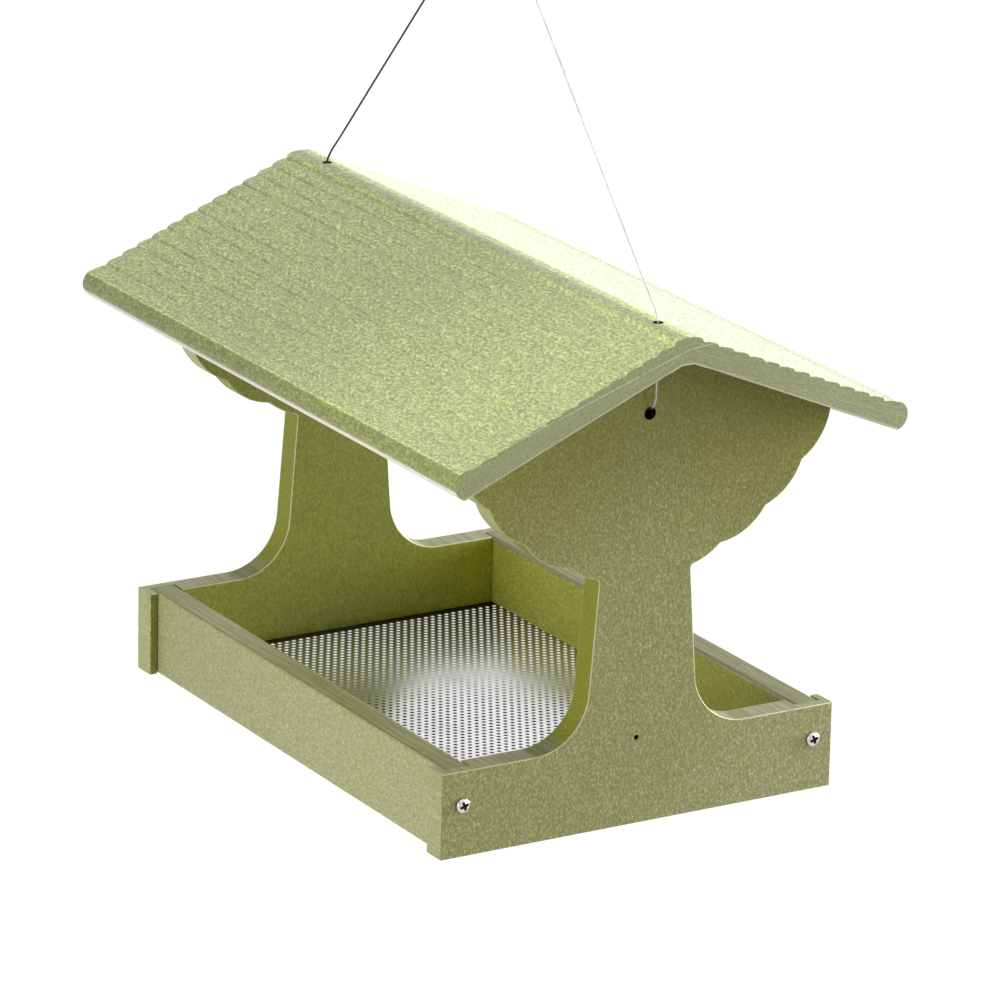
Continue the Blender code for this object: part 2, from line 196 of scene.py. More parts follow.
def turn_outwards() -> None:
    """Turns all the faces of the object in edit mode outwards."""
    bpy.ops.mesh.select_all(action="SELECT")
    bpy.ops.mesh.normals_make_consistent(inside=False)


def modify(obj: bpy.types.Object, kind: str, **settings: object) -> None:
    """Changes an object by a modifier, which is applied at once.

    Args:
        obj: The object to change.
        kind: The modifier's Blender type.
        **settings: The modifier's own settings.
    """
    modifier = obj.modifiers.new(kind.lower(), kind)
    for name, setting in settings.items():
        setattr(modifier, name, setting)
    make_active(obj)
    bpy.ops.object.modifier_apply(modifier=modifier.name)


def settled(name: str) -> bpy.types.Object:
    """The primitive just added, with its place, turn and size written into its mesh.

    Args:
        name: Its new name.

    Returns:
        The object.
    """
    obj = bpy.context.active_object
    obj.name = name
    bpy.ops.object.transform_apply(location=True, rotation=True, scale=True)
    return obj


def reach_along_x(edge: bmesh.types.BMEdge) -> float:
    """How far an edge runs along X."""
    return abs(edge.verts[0].co.x - edge.verts[1].co.x)


def lies_at_end(edge: bmesh.types.BMEdge, half_length: float) -> bool:
    """Whether an edge lies at an end of a piece that is centred on X = 0."""
    return all(abs(abs(vert.co.x) - half_length) < TOUCHING for vert in edge.verts)


def ring_of_points(name: str, places: Sequence[Vector], filled: bool) -> bpy.types.Object:
    """A closed ring, started as a circle primitive whose points are moved to their places.

    Args:
        name: Name of the new object.
        places: Where the ring's points lie, in order.
        filled: Whether a face closes the ring.

    Returns:
        The new object.
    """
    deselect_all()
    fill = "NGON" if filled else "NOTHING"
    bpy.ops.mesh.primitive_circle_add(vertices=len(places), radius=0.01, fill_type=fill,
                                      location=(0.0, 0.0, 0.0))
    obj = bpy.context.active_object
    obj.name = name
    obj.data.name = name
    for vertex, place in zip(obj.data.vertices, places):
        vertex.co = place
    obj.data.update()
    return obj


def box_between(name: str, low: Sequence[float], high: Sequence[float]) -> bpy.types.Object:
    """A block between two corners.

    Args:
        name: Name of the new object.
        low: One corner.
        high: The opposite corner.

    Returns:
        The new object.
    """
    deselect_all()
    middle = (Vector(low) + Vector(high)) / 2
    bpy.ops.mesh.primitive_cube_add(size=1.0, location=middle)
    bpy.context.active_object.scale = [abs(b - a) for a, b in zip(low, high)]
    return settled(name)


def rod_along_x(name: str, radius: float, start: Sequence[float], length: float,
                sides: int) -> bpy.types.Object:
    """A round bar along X.

    Args:
        name: Name of the new object.
        radius: Radius of the bar.
        start: Middle of the bar's lower-X end.
        length: Length of the bar.
        sides: How many flat sides stand for its roundness.

    Returns:
        The new object.
    """
    deselect_all()
    middle = Vector(start) + Vector((length / 2, 0.0, 0.0))
    bpy.ops.mesh.primitive_cylinder_add(vertices=sides, radius=radius, depth=length, location=middle,
                                        rotation=(0.0, math.pi / 2, 0.0))
    return settled(name)


def extrude(obj: bpy.types.Object, way: Sequence[float]) -> None:
    """Pushes a flat face out into a solid, and turns its faces outwards.

    Args:
        obj: The object, a single face.
        way: How far the face goes.
    """
    with editing(obj):
        bpy.ops.mesh.select_all(action="SELECT")
        bpy.ops.mesh.extrude_region_move(TRANSFORM_OT_translate={"value": tuple(way)})
        turn_outwards()


def spin_about_x(name: str, profile: Sequence[tuple[float, float]], centre: Vector, steps: int,
                 closed: bool) -> bpy.types.Object:
    """A turned piece whose axis runs along X.

    Args:
        name: Name of the new object.
        profile: Pairs of place along X and radius.
        centre: A point on the axis.
        steps: How many steps make the full turn.
        closed: Whether the profile is a closed ring, as on a piece with a bore.

    Returns:
        The new object.
    """
    places = [Vector((along, centre.y, centre.z + radius)) for along, radius in profile]
    obj = ring_of_points(name, places, filled=False)
    last = len(places) - 1
    with editing(obj):
        if not closed:
            pick_edges(obj, lambda edge: {vert.index for vert in edge.verts} == {0, last})
            bpy.ops.mesh.delete(type="EDGE")
        bpy.ops.mesh.select_mode(type="VERT")
        bpy.ops.mesh.select_all(action="SELECT")
        bpy.ops.mesh.spin(steps=steps, angle=math.tau, center=centre, axis=(1.0, 0.0, 0.0))
        bpy.ops.mesh.select_all(action="SELECT")
        bpy.ops.mesh.remove_doubles(threshold=TOUCHING)
        turn_outwards()
    return obj


def cut_away(obj: bpy.types.Object, cutter: bpy.types.Object, surface: Enum = Surface.CUT) -> None:
    """Takes a cutter's solid out of an object, and the cutter out of the scene.

    Args:
        obj: The object to cut.
        cutter: The solid to take out.
        surface: The material slot of the faces that the cut leaves.
    """
    take_materials(cutter, obj.data.materials)
    for polygon in cutter.data.polygons:
        polygon.material_index = surface.value
    modify(obj, "BOOLEAN", operation="DIFFERENCE", solver="EXACT", object=cutter)
    bpy.data.objects.remove(cutter, do_unlink=True)


def ease_edges(obj: bpy.types.Object, width: float, segments: int, test: EdgeTest,
               surface: Surface = Surface.RUBBED_EDGE) -> None:
    """Rounds the edges that pass a test, and gives the round its own material slot.

    Args:
        obj: The object whose edges are rounded.
        width: How far the round reaches from the edge.
        segments: How many faces make the round.
        test: Called with each edge.
        surface: The material slot of the round.
    """
    with editing(obj):
        pick_edges(obj, test)
        bpy.ops.mesh.bevel(offset=width, offset_type="OFFSET", segments=segments, profile=0.5, affect="EDGES",
                           clamp_overlap=False, material=surface.value)


def smooth(obj: bpy.types.Object, degrees: float) -> None:
    """Shades an object smooth, except across edges that bend more than an angle.

    Args:
        obj: The object to shade.
        degrees: The angle.
    """
    make_active(obj)
    bpy.ops.object.shade_smooth_by_angle(angle=math.radians(degrees))


def flatten_shading(obj: bpy.types.Object) -> None:
    """Lets the broad faces set the shading of their rims, so that an eased edge doesn't tilt them.

    Args:
        obj: The object, already shaded smooth.
    """
    modify(obj, "WEIGHTED_NORMAL", mode="FACE_AREA", weight=50, keep_sharp=True)


def arc(start: Vector, end: Vector, bulge: float, steps: int) -> list[Vector]:
    """Points on a round stretch that stands out to the right of its chord.

    Args:
        start: Where the stretch starts, in the plane of the outline.
        end: Where it ends.
        bulge: How far it stands out from its chord.
        steps: How many points to give.

    Returns:
        The points after start, as far as end.
    """
    chord = end - start
    half = chord.length / 2
    radius = (half**2 + bulge**2) / (2 * bulge)
    outward = Vector((chord.y, -chord.x)).normalized()
    centre = (start + end) / 2 + outward * (bulge - radius)
    sweep = 2 * math.asin(half / radius)
    return [centre + Matrix.Rotation(sweep * i / steps, 2) @ (start - centre) for i in range(1, steps + 1)]


def bulge_of(start: Vector, end: Vector, radius: float) -> float:
    """How far an arc of a given radius stands out from its chord.

    Args:
        start: One end of the chord.
        end: The other end.
        radius: The arc's radius.

    Returns:
        The distance.
    """
    half = (end - start).length / 2
    return radius - math.sqrt(radius**2 - half**2)


def both_sides(half: Sequence[Vector]) -> list[Vector]:
    """A closed outline from its +Y half.

    Args:
        half: The +Y half, without points at y = 0.

    Returns:
        The half and its mirror image, in order.
    """
    return list(half) + [Vector((-point.x, point.y)) for point in reversed(half)]


def routed(outline: Sequence[Vector], radius: float) -> list[Vector]:
    """An outline with its inside corners rounded, as a router's bit leaves them.

    Args:
        outline: The closed outline's points, with the board on the left of the way round.
        radius: The bit's radius.

    Returns:
        The points of the eased outline.
    """
    least_turn = math.radians(20)
    eased = []
    for before, corner, after in zip(outline[-1:] + outline[:-1], outline, outline[1:] + outline[:1]):
        behind = (before - corner).normalized()
        ahead = (after - corner).normalized()
        opening = behind.angle(ahead)
        turns_inwards = behind.cross(ahead) > 0.0
        if not turns_inwards or math.pi - opening < least_turn:
            eased.append(corner)
            continue
        reach = radius / math.tan(opening / 2)
        start = corner + behind * reach
        end = corner + ahead * reach
        eased += [start] + arc(start, end, -bulge_of(start, end, radius), 6)
    return eased


def smooth_way(route: Sequence[Vector], spacing: float) -> list[Vector]:
    """Points on a smooth curve through a route's points.

    Args:
        route: The points that the curve passes through.
        spacing: About how far apart the points lie.

    Returns:
        The points, with the route's own ones among them.
    """
    ends = [2 * route[0] - route[1], *route, 2 * route[-1] - route[-2]]
    way = [route[0].copy()]
    for before, start, end, after in zip(ends, ends[1:], ends[2:], ends[3:]):
        steps = max(2, round((end - start).length / spacing))
        for step in range(1, steps + 1):
            t = step / steps
            way.append(0.5 * (2 * start + (end - before) * t
                              + (2 * before - 5 * start + 4 * end - after) * t**2
                              + (3 * start - before - 3 * end + after) * t**3))
    return way


def length_of(way: Sequence[Vector]) -> float:
    """The length of a line through points."""
    return sum((b - a).length for a, b in zip(way, way[1:]))


class Bench:
    """A node tree under construction, with short ways to place and link its nodes."""

    def __init__(self, tree: bpy.types.NodeTree) -> None:
        """Keeps the tree that the nodes go into."""
        self.tree = tree

    def fill(self, socket: bpy.types.NodeSocket, value: object) -> None:
        """Links a value to a socket, or sets a number or a colour on the socket itself.

        Args:
            socket: The input to fill.
            value: What it holds.
        """
        if isinstance(value, Value):
            self.tree.links.new(value.socket, socket)
        else:
            socket.default_value = (*value, 1.0) if socket.type == "RGBA" else value

    def node(self, kind: str, inputs: Inputs | None = None, **settings: object) -> bpy.types.Node:
        """Places a node.

        Args:
            kind: The node's Blender type.
            inputs: What its sockets hold: a number, a colour or a value of the tree.
            **settings: The node's own settings.

        Returns:
            The new node.
        """
        node = self.tree.nodes.new(kind)
        for name, setting in settings.items():
            setattr(node, name, setting)
        for socket, value in (inputs or {}).items():
            self.fill(node.inputs[socket], value)
        return node

    def value(self, kind: str, inputs: Inputs | None = None, output: str | int = 0,
              **settings: object) -> Value:
        """Places a node for the sake of one of its outputs.

        Args:
            kind: The node's Blender type.
            inputs: What its sockets hold.
            output: Which output is wanted.
            **settings: The node's own settings.

        Returns:
            The output.
        """
        return Value(self, self.node(kind, inputs, **settings).outputs[output])


class Value:
    """A number, a vector or a colour in a node tree; sums and products on it place their nodes."""

    def __init__(self, bench: Bench, socket: bpy.types.NodeSocket) -> None:
        """Keeps the output that the value comes from."""
        self.bench = bench
        self.socket = socket

    def apply(self, operation: str, *others: object) -> Value:
        """The result of an operation, worked out part by part on a vector or a colour.

        Args:
            operation: The operation, in Blender's word.
            *others: What it works on beside the value.

        Returns:
            The result.
        """
        kind = "ShaderNodeMath" if self.socket.type == "VALUE" else "ShaderNodeVectorMath"
        return self.bench.value(kind, dict(enumerate((self, *others))), operation=operation)

    def __add__(self, other: object) -> Value:
        """The sum."""
        return self.apply("ADD", other)

    def __sub__(self, other: object) -> Value:
        """The difference."""
        return self.apply("SUBTRACT", other)

    def __rsub__(self, other: float) -> Value:
        """What is left of a number when the value is taken from it."""
        return self.bench.value("ShaderNodeMath", {0: other, 1: self}, operation="SUBTRACT")

    def __mul__(self, other: object) -> Value:
        """The product."""
        return self.apply("MULTIPLY", other)

    def __truediv__(self, other: object) -> Value:
        """The quotient."""
        return self.apply("DIVIDE", other)

    def __abs__(self) -> Value:
        """The value without its sign."""
        return self.apply("ABSOLUTE")

    def parts(self) -> list[Value]:
        """The three parts of a vector."""
        outputs = self.bench.node("ShaderNodeSeparateXYZ", {0: self}).outputs
        return [Value(self.bench, output) for output in outputs]

    def noise(self, scale: float, detail: float, roughness: float = 0.5) -> Value:
        """A noise value at each place.

        Args:
            scale: How many of its cycles go into one unit.
            detail: How many finer layers it holds.
            roughness: How strong the finer layers are.

        Returns:
            The noise, around 0.5.
        """
        return self.bench.value("ShaderNodeTexNoise", {"Vector": self, "Scale": scale, "Detail": detail,
                                                       "Roughness": roughness})

    def mask(self, low: float, high: float) -> Value:
        """A smooth step from 0 at low to 1 at high, or the other way round where high is the lower.

        Args:
            low: Where the mask is 0.
            high: Where the mask is 1.

        Returns:
            The mask.
        """
        ends = {"Value": self, "From Min": min(low, high), "From Max": max(low, high),
                "To Min": float(low > high), "To Max": float(high > low)}
        return self.bench.value("ShaderNodeMapRange", ends, interpolation_type="SMOOTHSTEP")

    def towards(self, other: object, share: object) -> Value:
        """A colour between this one and another.

        Args:
            other: The other colour.
            share: How much of the other there is.

        Returns:
            The mixed colour.
        """
        return self.bench.value("ShaderNodeMix", {0: share, 6: self, 7: other}, 2, data_type="RGBA")


Sockets = dict[str, Value]
PLACED_COLOUR = {"Coordinates": "Vector", "Color": "Color"}


class Effect:
    """A shader node group that several finishes share, built the first time that it is placed."""

    name: str
    takes: dict[str, str] = PLACED_COLOUR
    gives: dict[str, str] = {"Color": "Color"}

    def on(self, bench: Bench, **inputs: object) -> Sockets:
        """Places the group.

        Args:
            bench: Where it goes.
            **inputs: What its inputs hold.

        Returns:
            Its outputs, by name.
        """
        node = bench.node("ShaderNodeGroup", inputs, node_tree=self.tree())
        return {label: Value(bench, node.outputs[label]) for label in self.gives}

    def over(self, place: Value, colour: Value, **more: object) -> Value:
        """A colour with the effect on it.

        Args:
            place: The place on the piece.
            colour: The colour without the effect.
            **more: What the group's other inputs hold.

        Returns:
            The new colour.
        """
        return self.on(place.bench, Coordinates=place, Color=colour, **more)["Color"]

    def tree(self) -> bpy.types.NodeTree:
        """The group's tree.

        Returns:
            The tree, which is built only once.
        """
        found = bpy.data.node_groups.get(self.name)
        if found is not None:
            return found
        tree = bpy.data.node_groups.new(self.name, "ShaderNodeTree")
        for way, sockets in (("INPUT", self.takes), ("OUTPUT", self.gives)):
            for label, kind in sockets.items():
                tree.interface.new_socket(name=label, in_out=way, socket_type=f"NodeSocket{kind}")
        bench = Bench(tree)
        outputs = bench.node("NodeGroupInput").outputs
        given = {label: Value(bench, outputs[label]) for label in self.takes}
        bench.node("NodeGroupOutput", self.wire(bench, given))
        return tree

    def wire(self, bench: Bench, given: Sockets) -> Sockets:
        """Builds the inside of the group.

        Args:
            bench: Where the nodes go.
            given: The group's inputs.

        Returns:
            What each output of the group shows.
        """
        raise NotImplementedError


class Flecks(Effect):
    """The pale and deep flecks of a moulded board of mixed plastic, drawn out along its length."""

    name = "flecks"
    takes = {"Coordinates": "Vector", "Stretch": "Vector", "Ground": "Color", "Pale": "Color",
             "Deep": "Color", "Cool": "Color", "Contrast": "Float"}
    gives = {"Color": "Color", "Height": "Float", "Cloud": "Float"}
    pale_range = (0.49, 0.64)
    deep_range = (0.50, 0.34)
    bright_range = (0.66, 0.76)
    bright_tint = (1.25, 1.25, 1.45)
    cool_range = (0.40, 0.62)
    cool_share = 0.45
    patch_range = (0.40, 0.64)
    patch_share = 0.12

    def wire(self, bench: Bench, given: Sockets) -> Sockets:
        """Layers fine flecks, sparse bright specks and slow cloudy patches over the ground colour.

        Args:
            bench: Where the nodes go.
            given: The place, the stretch of the flecks, their colours and their contrast.

        Returns:
            The flecked colour, the height of the surface and the cloudy patches.
        """
        drawn = given["Coordinates"] * given["Stretch"]
        fine = drawn.noise(1.0, 2.0, 0.6)
        broad = (drawn + (17.0, 5.0, 9.0)).noise(0.40, 1.0)
        speck = (drawn + (3.0, 41.0, 23.0)).noise(1.1, 0.0)
        cloud = given["Coordinates"].noise(26.0, 2.0)
        contrast = given["Contrast"]
        colour = given["Ground"].towards(given["Cool"], broad.mask(*self.cool_range) * self.cool_share)
        colour = colour.towards(given["Cool"], cloud.mask(*self.patch_range) * self.patch_share)
        colour = colour.towards(given["Pale"], fine.mask(*self.pale_range) * contrast)
        colour = colour.towards(given["Deep"], fine.mask(*self.deep_range) * contrast)
        colour = colour.towards(given["Pale"] * self.bright_tint, speck.mask(*self.bright_range) * contrast)
        return {"Color": colour, "Height": fine + broad * 0.6, "Cloud": cloud}


class SawMarks(Effect):
    """Fine scores that a saw leaves on a cut end, along the slope of the board."""

    name = "saw_marks"
    takes = PLACED_COLOUR | {"Pitch": "Float", "Score": "Color"}
    gives = {"Color": "Color", "Height": "Float"}
    cycles = (45.0, 1500.0, 20.0)
    score_range = (0.50, 0.72)
    score_share = 0.35

    def wire(self, bench: Bench, given: Sockets) -> Sockets:
        """Draws a noise out along the slope on both sides of the ridge, and lightens the scores.

        Args:
            bench: Where the nodes go.
            given: The place, the colour, the slope and the scores' colour.

        Returns:
            The scored colour and the height of the surface.
        """
        _, y, z = given["Coordinates"].parts()
        out = abs(y)
        ways = zip((out, z + out * given["Pitch"], y), self.cycles)
        drawn = bench.value("ShaderNodeCombineXYZ",
                            {axis: way * cycles for axis, (way, cycles) in enumerate(ways)})
        streak = drawn.noise(1.0, 2.0, 0.6)
        light = streak.mask(*self.score_range) * self.score_share
        return {"Color": given["Color"].towards(given["Score"], light), "Height": streak}


class PaintedEdgeHighlight(Effect):
    """Painted highlight: the pale, broken line along an edge, which stands in for the light that its eased
    round catches.
    """

    name = "painted_edge_highlight"
    takes = PLACED_COLOUR | {"Rubbed": "Color"}
    highlit_range = (0.22, 0.46)

    def wire(self, bench: Bench, given: Sockets) -> Sockets:
        """Fades the painted highlight in and out along the edge.

        Args:
            bench: Where the nodes go.
            given: The place, the colour and the highlight's colour.

        Returns:
            The mixed colour.
        """
        highlit = given["Coordinates"].noise(130.0, 3.0, 0.6).mask(*self.highlit_range)
        return {"Color": given["Color"].towards(given["Rubbed"], highlit)}


class PaintedRoofShade(Effect):
    """Painted shade: the deeper, richer colour that darkens a board close under the roof, where the roof's
    shade falls.
    """

    name = "shelter"
    takes = PLACED_COLOUR | {"Tint": "Color", "Reach": "Float"}

    def wire(self, bench: Bench, given: Sockets) -> Sockets:
        """Fades the tint out with the distance below the underside of the roof.

        Args:
            bench: Where the nodes go.
            given: The place, the colour, the tint and how far down it reaches.

        Returns:
            The tinted colour.
        """
        _, y, z = given["Coordinates"].parts()
        drop = (ROOF_INNER_APEX - HANG_HEIGHT) - z - abs(y) * math.tan(ROOF_PITCH)
        near_roof = (drop / given["Reach"]).mask(1.0, 0.0)
        return {"Color": given["Color"].towards(given["Color"] * given["Tint"], near_roof)}


class PalingAndPaintedLight(Effect):
    """A roof's colour, paler towards the near end and down the slopes, with painted shade on the front of the
    ridge and a painted highlight that whitens the back slope.
    """

    name = "paling_and_painted_light"
    takes = PLACED_COLOUR | {"Tint": "Color"}
    along_ridge = (0.0, 0.215)
    down_slope = 0.45
    ridge_shade = (0.70, 0.71, 0.82)
    ridge_front = (-0.0085, -0.0035)
    ridge_back = (0.0006, -0.0012)
    back_tint = (1.15, 1.14, 1.80)
    back_range = (0.0, 0.012)

    def wire(self, bench: Bench, given: Sockets) -> Sockets:
        """Fades the tint in along the ridge, deepens the ridge's front with painted shade and whitens the
        back slope with a painted highlight.

        Args:
            bench: Where the nodes go.
            given: The place, the colour and the tint.

        Returns:
            The tinted colour.
        """
        x, y, _ = given["Coordinates"].parts()
        paler = (x + abs(y) * self.down_slope).mask(*self.along_ridge)
        colour = given["Color"].towards(given["Color"] * given["Tint"], paler)
        near_ridge = y.mask(*self.ridge_front) * y.mask(*self.ridge_back)
        colour = colour.towards(colour * self.ridge_shade, near_ridge)
        return {"Color": colour.towards(given["Color"] * self.back_tint, y.mask(*self.back_range))}


class PaintedTopLight(Effect):
    """Painted light and shade on the stretches of a face that look up: a greyer colour, in streaks, darker
    than the ground where the roof shades them and paler where light falls on them.
    """

    name = "painted_top_light"
    takes = {"Color": "Color", "Dusty": "Color"}
    lift_range = (0.72, 1.0)
    most = 0.8
    stretch = (22.0, 520.0, 520.0)
    streak_range = (0.42, 0.60)
    deep_streak = (0.84, 0.86, 0.72)
    pale_streak = (1.30, 1.27, 1.75)

    def wire(self, bench: Bench, given: Sockets) -> Sockets:
        """Mixes the painted colour of the faces that look up in, in streaks, as the normal turns upwards.

        Args:
            bench: Where the nodes go.
            given: The colour and the painted colour of the faces that look up.

        Returns:
            The mixed colour.
        """
        lift = bench.value("ShaderNodeTexCoord", output="Normal").parts()[2]
        place = bench.value("ShaderNodeTexCoord", output="Object")
        streak = (place * self.stretch).noise(1.0, 2.0).mask(*self.streak_range)
        top_tone = (given["Dusty"] * self.deep_streak).towards(given["Dusty"] * self.pale_streak, streak)
        return {"Color": given["Color"].towards(top_tone, lift.mask(*self.lift_range) * self.most)}


class PaintedShingleLight(Effect):
    """Painted light on the shingles: a painted highlight on their noses, and a broken line of painted shade
    in their grooves and beside the ridge cap.
    """

    name = "painted_shingle_light"
    first = CAP_WIDTH / 2
    last = 0.1320
    spacing = SHINGLE_PITCH * math.cos(ROOF_PITCH)
    nose = 0.98
    spread = 0.15
    nose_highlight = (1.17, 1.17, 1.28)
    groove_shade = (0.68, 0.73, 0.50)
    groove_range = (0.11, 0.04)
    broken_stretch = (70.0, 45.0, 45.0)
    broken_range = (0.36, 0.56)
    far_end = (0.02, -0.20)
    groove_near = 0.12
    groove_gain = 0.48
    cap_line = first + 0.0004
    cap_line_range = (0.0010, 0.0004)
    cap_line_end = (0.08, -0.08)
    cap_line_share = 0.80

    def wire(self, bench: Bench, given: Sockets) -> Sockets:
        """Counts the shingles down the slope, paints a highlight on each one's nose and painted shade in the
        groove below it.

        Args:
            bench: Where the nodes go.
            given: The place and the colour.

        Returns:
            The colour with the painted light and shade.
        """
        x, y, _ = given["Coordinates"].parts()
        out = abs(y)
        count = (out - self.first) / self.spacing
        gap = abs((count + (1.5 - self.nose)).apply("FRACT") - 0.5)
        above_eave = out.mask(self.last, self.last - 0.002)
        on_shingles = out.mask(self.first - 0.001, self.first + 0.001) * above_eave
        colour = given["Color"]
        highlit = colour.towards(colour * self.nose_highlight, gap.mask(self.spread, 0.0) * on_shingles)
        broken = (given["Coordinates"] * self.broken_stretch).noise(1.0, 1.0).mask(*self.broken_range)
        depth = (x.mask(*self.far_end) * self.groove_gain + self.groove_near) * broken
        groove = gap.mask(*self.groove_range) * (on_shingles * depth)
        beside_cap = abs(out - self.cap_line).mask(*self.cap_line_range) * x.mask(*self.cap_line_end)
        groove = groove.apply("MAXIMUM", beside_cap * self.cap_line_share)
        return {"Color": highlit.towards(colour * self.groove_shade, groove)}


class PaintedEaveLight(Effect):
    """Painted light and shade round the eave's nose: a painted shaded band, with a painted highlight above it
    and another below.
    """

    name = "painted_eave_light"
    eave_range = (0.1345, 0.1365)
    crest_range = (0.925, 0.895)
    crest_highlight = (1.42, 1.40, 1.50)
    band_range = (0.87, 0.66)
    band_shade = (0.50, 0.51, 0.33)
    under_range = (-0.20, -0.55)
    under_highlight = (0.95, 0.95, 0.86)

    def wire(self, bench: Bench, given: Sockets) -> Sockets:
        """Finds the band by its place and by how far its surface has turned from the slope.

        Args:
            bench: Where the nodes go.
            given: The place and the colour.

        Returns:
            The colour with the painted band and its highlights in it.
        """
        lift = bench.value("ShaderNodeTexCoord", output="Normal").parts()[2]
        on_eave = abs(given["Coordinates"].parts()[1]).mask(*self.eave_range)
        ground = given["Color"]
        colour = ground.towards(ground * self.crest_highlight, lift.mask(*self.crest_range) * on_eave)
        colour = colour.towards(ground * self.band_shade, lift.mask(*self.band_range) * on_eave)
        return {"Color": colour.towards(self.under_highlight, lift.mask(*self.under_range) * on_eave)}


class LevelledShingles(Effect):
    """Shading that follows the roof's slope more than the low waves of its shingles."""

    name = "levelled_shingles"
    takes = {"Coordinates": "Vector", "Normal": "Vector", "Amount": "Float"}
    gives = {"Normal": "Vector"}
    cap_end = 0.0085
    lip_start = 0.1360
    fade = 0.0050

    def wire(self, bench: Bench, given: Sockets) -> Sockets:
        """Turns the normal towards the slope's own, between the ridge cap and the eave.

        Args:
            bench: Where the nodes go.
            given: The place, the normal in the object's own axes, and how far to turn it.

        Returns:
            The levelled normal, in the world's axes.
        """
        y = given["Coordinates"].parts()[1]
        out = abs(y)
        slope = bench.value("ShaderNodeCombineXYZ", {"X": 0.0, "Y": y.apply("SIGN") * math.sin(ROOF_PITCH),
                                                     "Z": math.cos(ROOF_PITCH)})
        past_cap = out.mask(self.cap_end, self.cap_end + self.fade)
        above_lip = out.mask(self.lip_start, self.lip_start - self.fade)
        turned = given["Normal"].towards(slope, past_cap * above_lip * given["Amount"])
        return {"Normal": bench.value("ShaderNodeVectorTransform", {0: turned}, vector_type="NORMAL",
                                      convert_from="OBJECT", convert_to="WORLD")}


class PaleEndLineAndRimHighlight(Effect):
    """The pale, broken line across the roof's sawn end, and a painted highlight along its lower rim."""

    name = "pale_end_line_and_rim_highlight"
    height = 0.2845 - HANG_HEIGHT
    front_pitch = 0.343
    back_pitch = 0.10
    half_width = 0.00055
    broken_range = (0.32, 0.52)
    ridge_flat = 0.0040
    rim_rise = 0.00075
    rim_half_width = 0.0006
    rim_share = 0.85
    pale = (0.80, 0.80, 0.58)

    def wire(self, bench: Bench, given: Sockets) -> Sockets:
        """Draws the line up the front slope and on past the ridge, and the painted highlight along the
        underside's rim.

        Args:
            bench: Where the nodes go.
            given: The place and the colour.

        Returns:
            The colour with both lines in it.
        """
        _, y, z = given["Coordinates"].parts()
        rise = y.apply("MINIMUM", 0.0) * self.front_pitch + y.apply("MAXIMUM", 0.0) * self.back_pitch
        near = abs(z - (rise + self.height)).mask(self.half_width, 0.0)
        broken = given["Coordinates"].noise(260.0, 2.0).mask(*self.broken_range)
        fall = abs(y).apply("MAXIMUM", self.ridge_flat) * math.tan(ROOF_PITCH)
        rim = (ROOF_INNER_APEX - HANG_HEIGHT + self.rim_rise) - fall
        rim_highlight = abs(z - rim).mask(self.rim_half_width, self.rim_half_width * 0.4) * self.rim_share
        return {"Color": given["Color"].towards(self.pale, (near * broken).apply("MAXIMUM", rim_highlight))}


class Drift(Effect):
    """A slow change of colour across the feeder, from one end of a way to the other."""

    name = "drift"
    takes = PLACED_COLOUR | {"Way": "Vector", "Start": "Float", "End": "Float", "Last": "Color"}

    def wire(self, bench: Bench, given: Sockets) -> Sockets:
        """Measures along the way and mixes in the second colour.

        Args:
            bench: Where the nodes go.
            given: The place, the way, its start and end, and the colours at them.

        Returns:
            The mixed colour.
        """
        along = bench.value("ShaderNodeVectorMath", {0: given["Coordinates"], 1: given["Way"]}, "Value",
                            operation="DOT_PRODUCT")
        share = (along - given["Start"]) / (given["End"] - given["Start"])
        return {"Color": given["Color"].towards(given["Last"], share.mask(0.0, 1.0))}


class Brushing(Effect):
    """Fine lines that rolling or turning leaves on metal, with faint smudges."""

    name = "brushing"
    takes = PLACED_COLOUR | {"Stretch": "Vector", "Dull": "Color", "Gloss": "Float"}
    gives = {"Color": "Color", "Roughness": "Float", "Height": "Float"}
    smudge_range = (0.42, 0.68)
    smudge_share = 0.5
    line_roughness = 0.10
    smudge_roughness = 0.08

    def wire(self, bench: Bench, given: Sockets) -> Sockets:
        """Draws the lines out along one way, and lets slow smudges dull them.

        Args:
            bench: Where the nodes go.
            given: The place, the stretch of the lines, the two colours and the gloss.

        Returns:
            The colour, the roughness and the height of the surface.
        """
        line = (given["Coordinates"] * given["Stretch"]).noise(1.0, 3.0, 0.6)
        dull = given["Coordinates"].noise(55.0, 2.0).mask(*self.smudge_range) * self.smudge_share
        rough = given["Gloss"] + line * self.line_roughness + dull * self.smudge_roughness
        return {"Color": given["Color"].towards(given["Dull"], dull), "Roughness": rough, "Height": line}


@dataclass(frozen=True)
class Fade:
    """A slow change of tint along a way, from its start to its end."""

    way: Colour
    start: float
    end: float
    tint: Colour


@dataclass(frozen=True)
class Finish:
    """What a surface looks like, with the colour that it has at large."""

    name: str
    ground: Colour

    def material(self) -> bpy.types.Material:
        """The finish as a material, made once.

        Returns:
            The material.
        """
        found = bpy.data.materials.get(self.name)
        if found is not None:
            return found
        material = bpy.data.materials.new(self.name)
        material.use_nodes = True
        material.diffuse_color = (*self.ground, 1.0)
        bench = Bench(material.node_tree)
        shader = material.node_tree.nodes["Principled BSDF"]
        for socket, value in self.wire(bench, bench.value("ShaderNodeTexCoord", output="Object")).items():
            bench.fill(shader.inputs[socket], value)
        return material

    def wire(self, bench: Bench, place: Value) -> dict[str, object]:
        """Builds the finish.

        Args:
            bench: Where the nodes go.
            place: The place on the piece.

        Returns:
            What the shader's sockets hold.
        """
        raise NotImplementedError


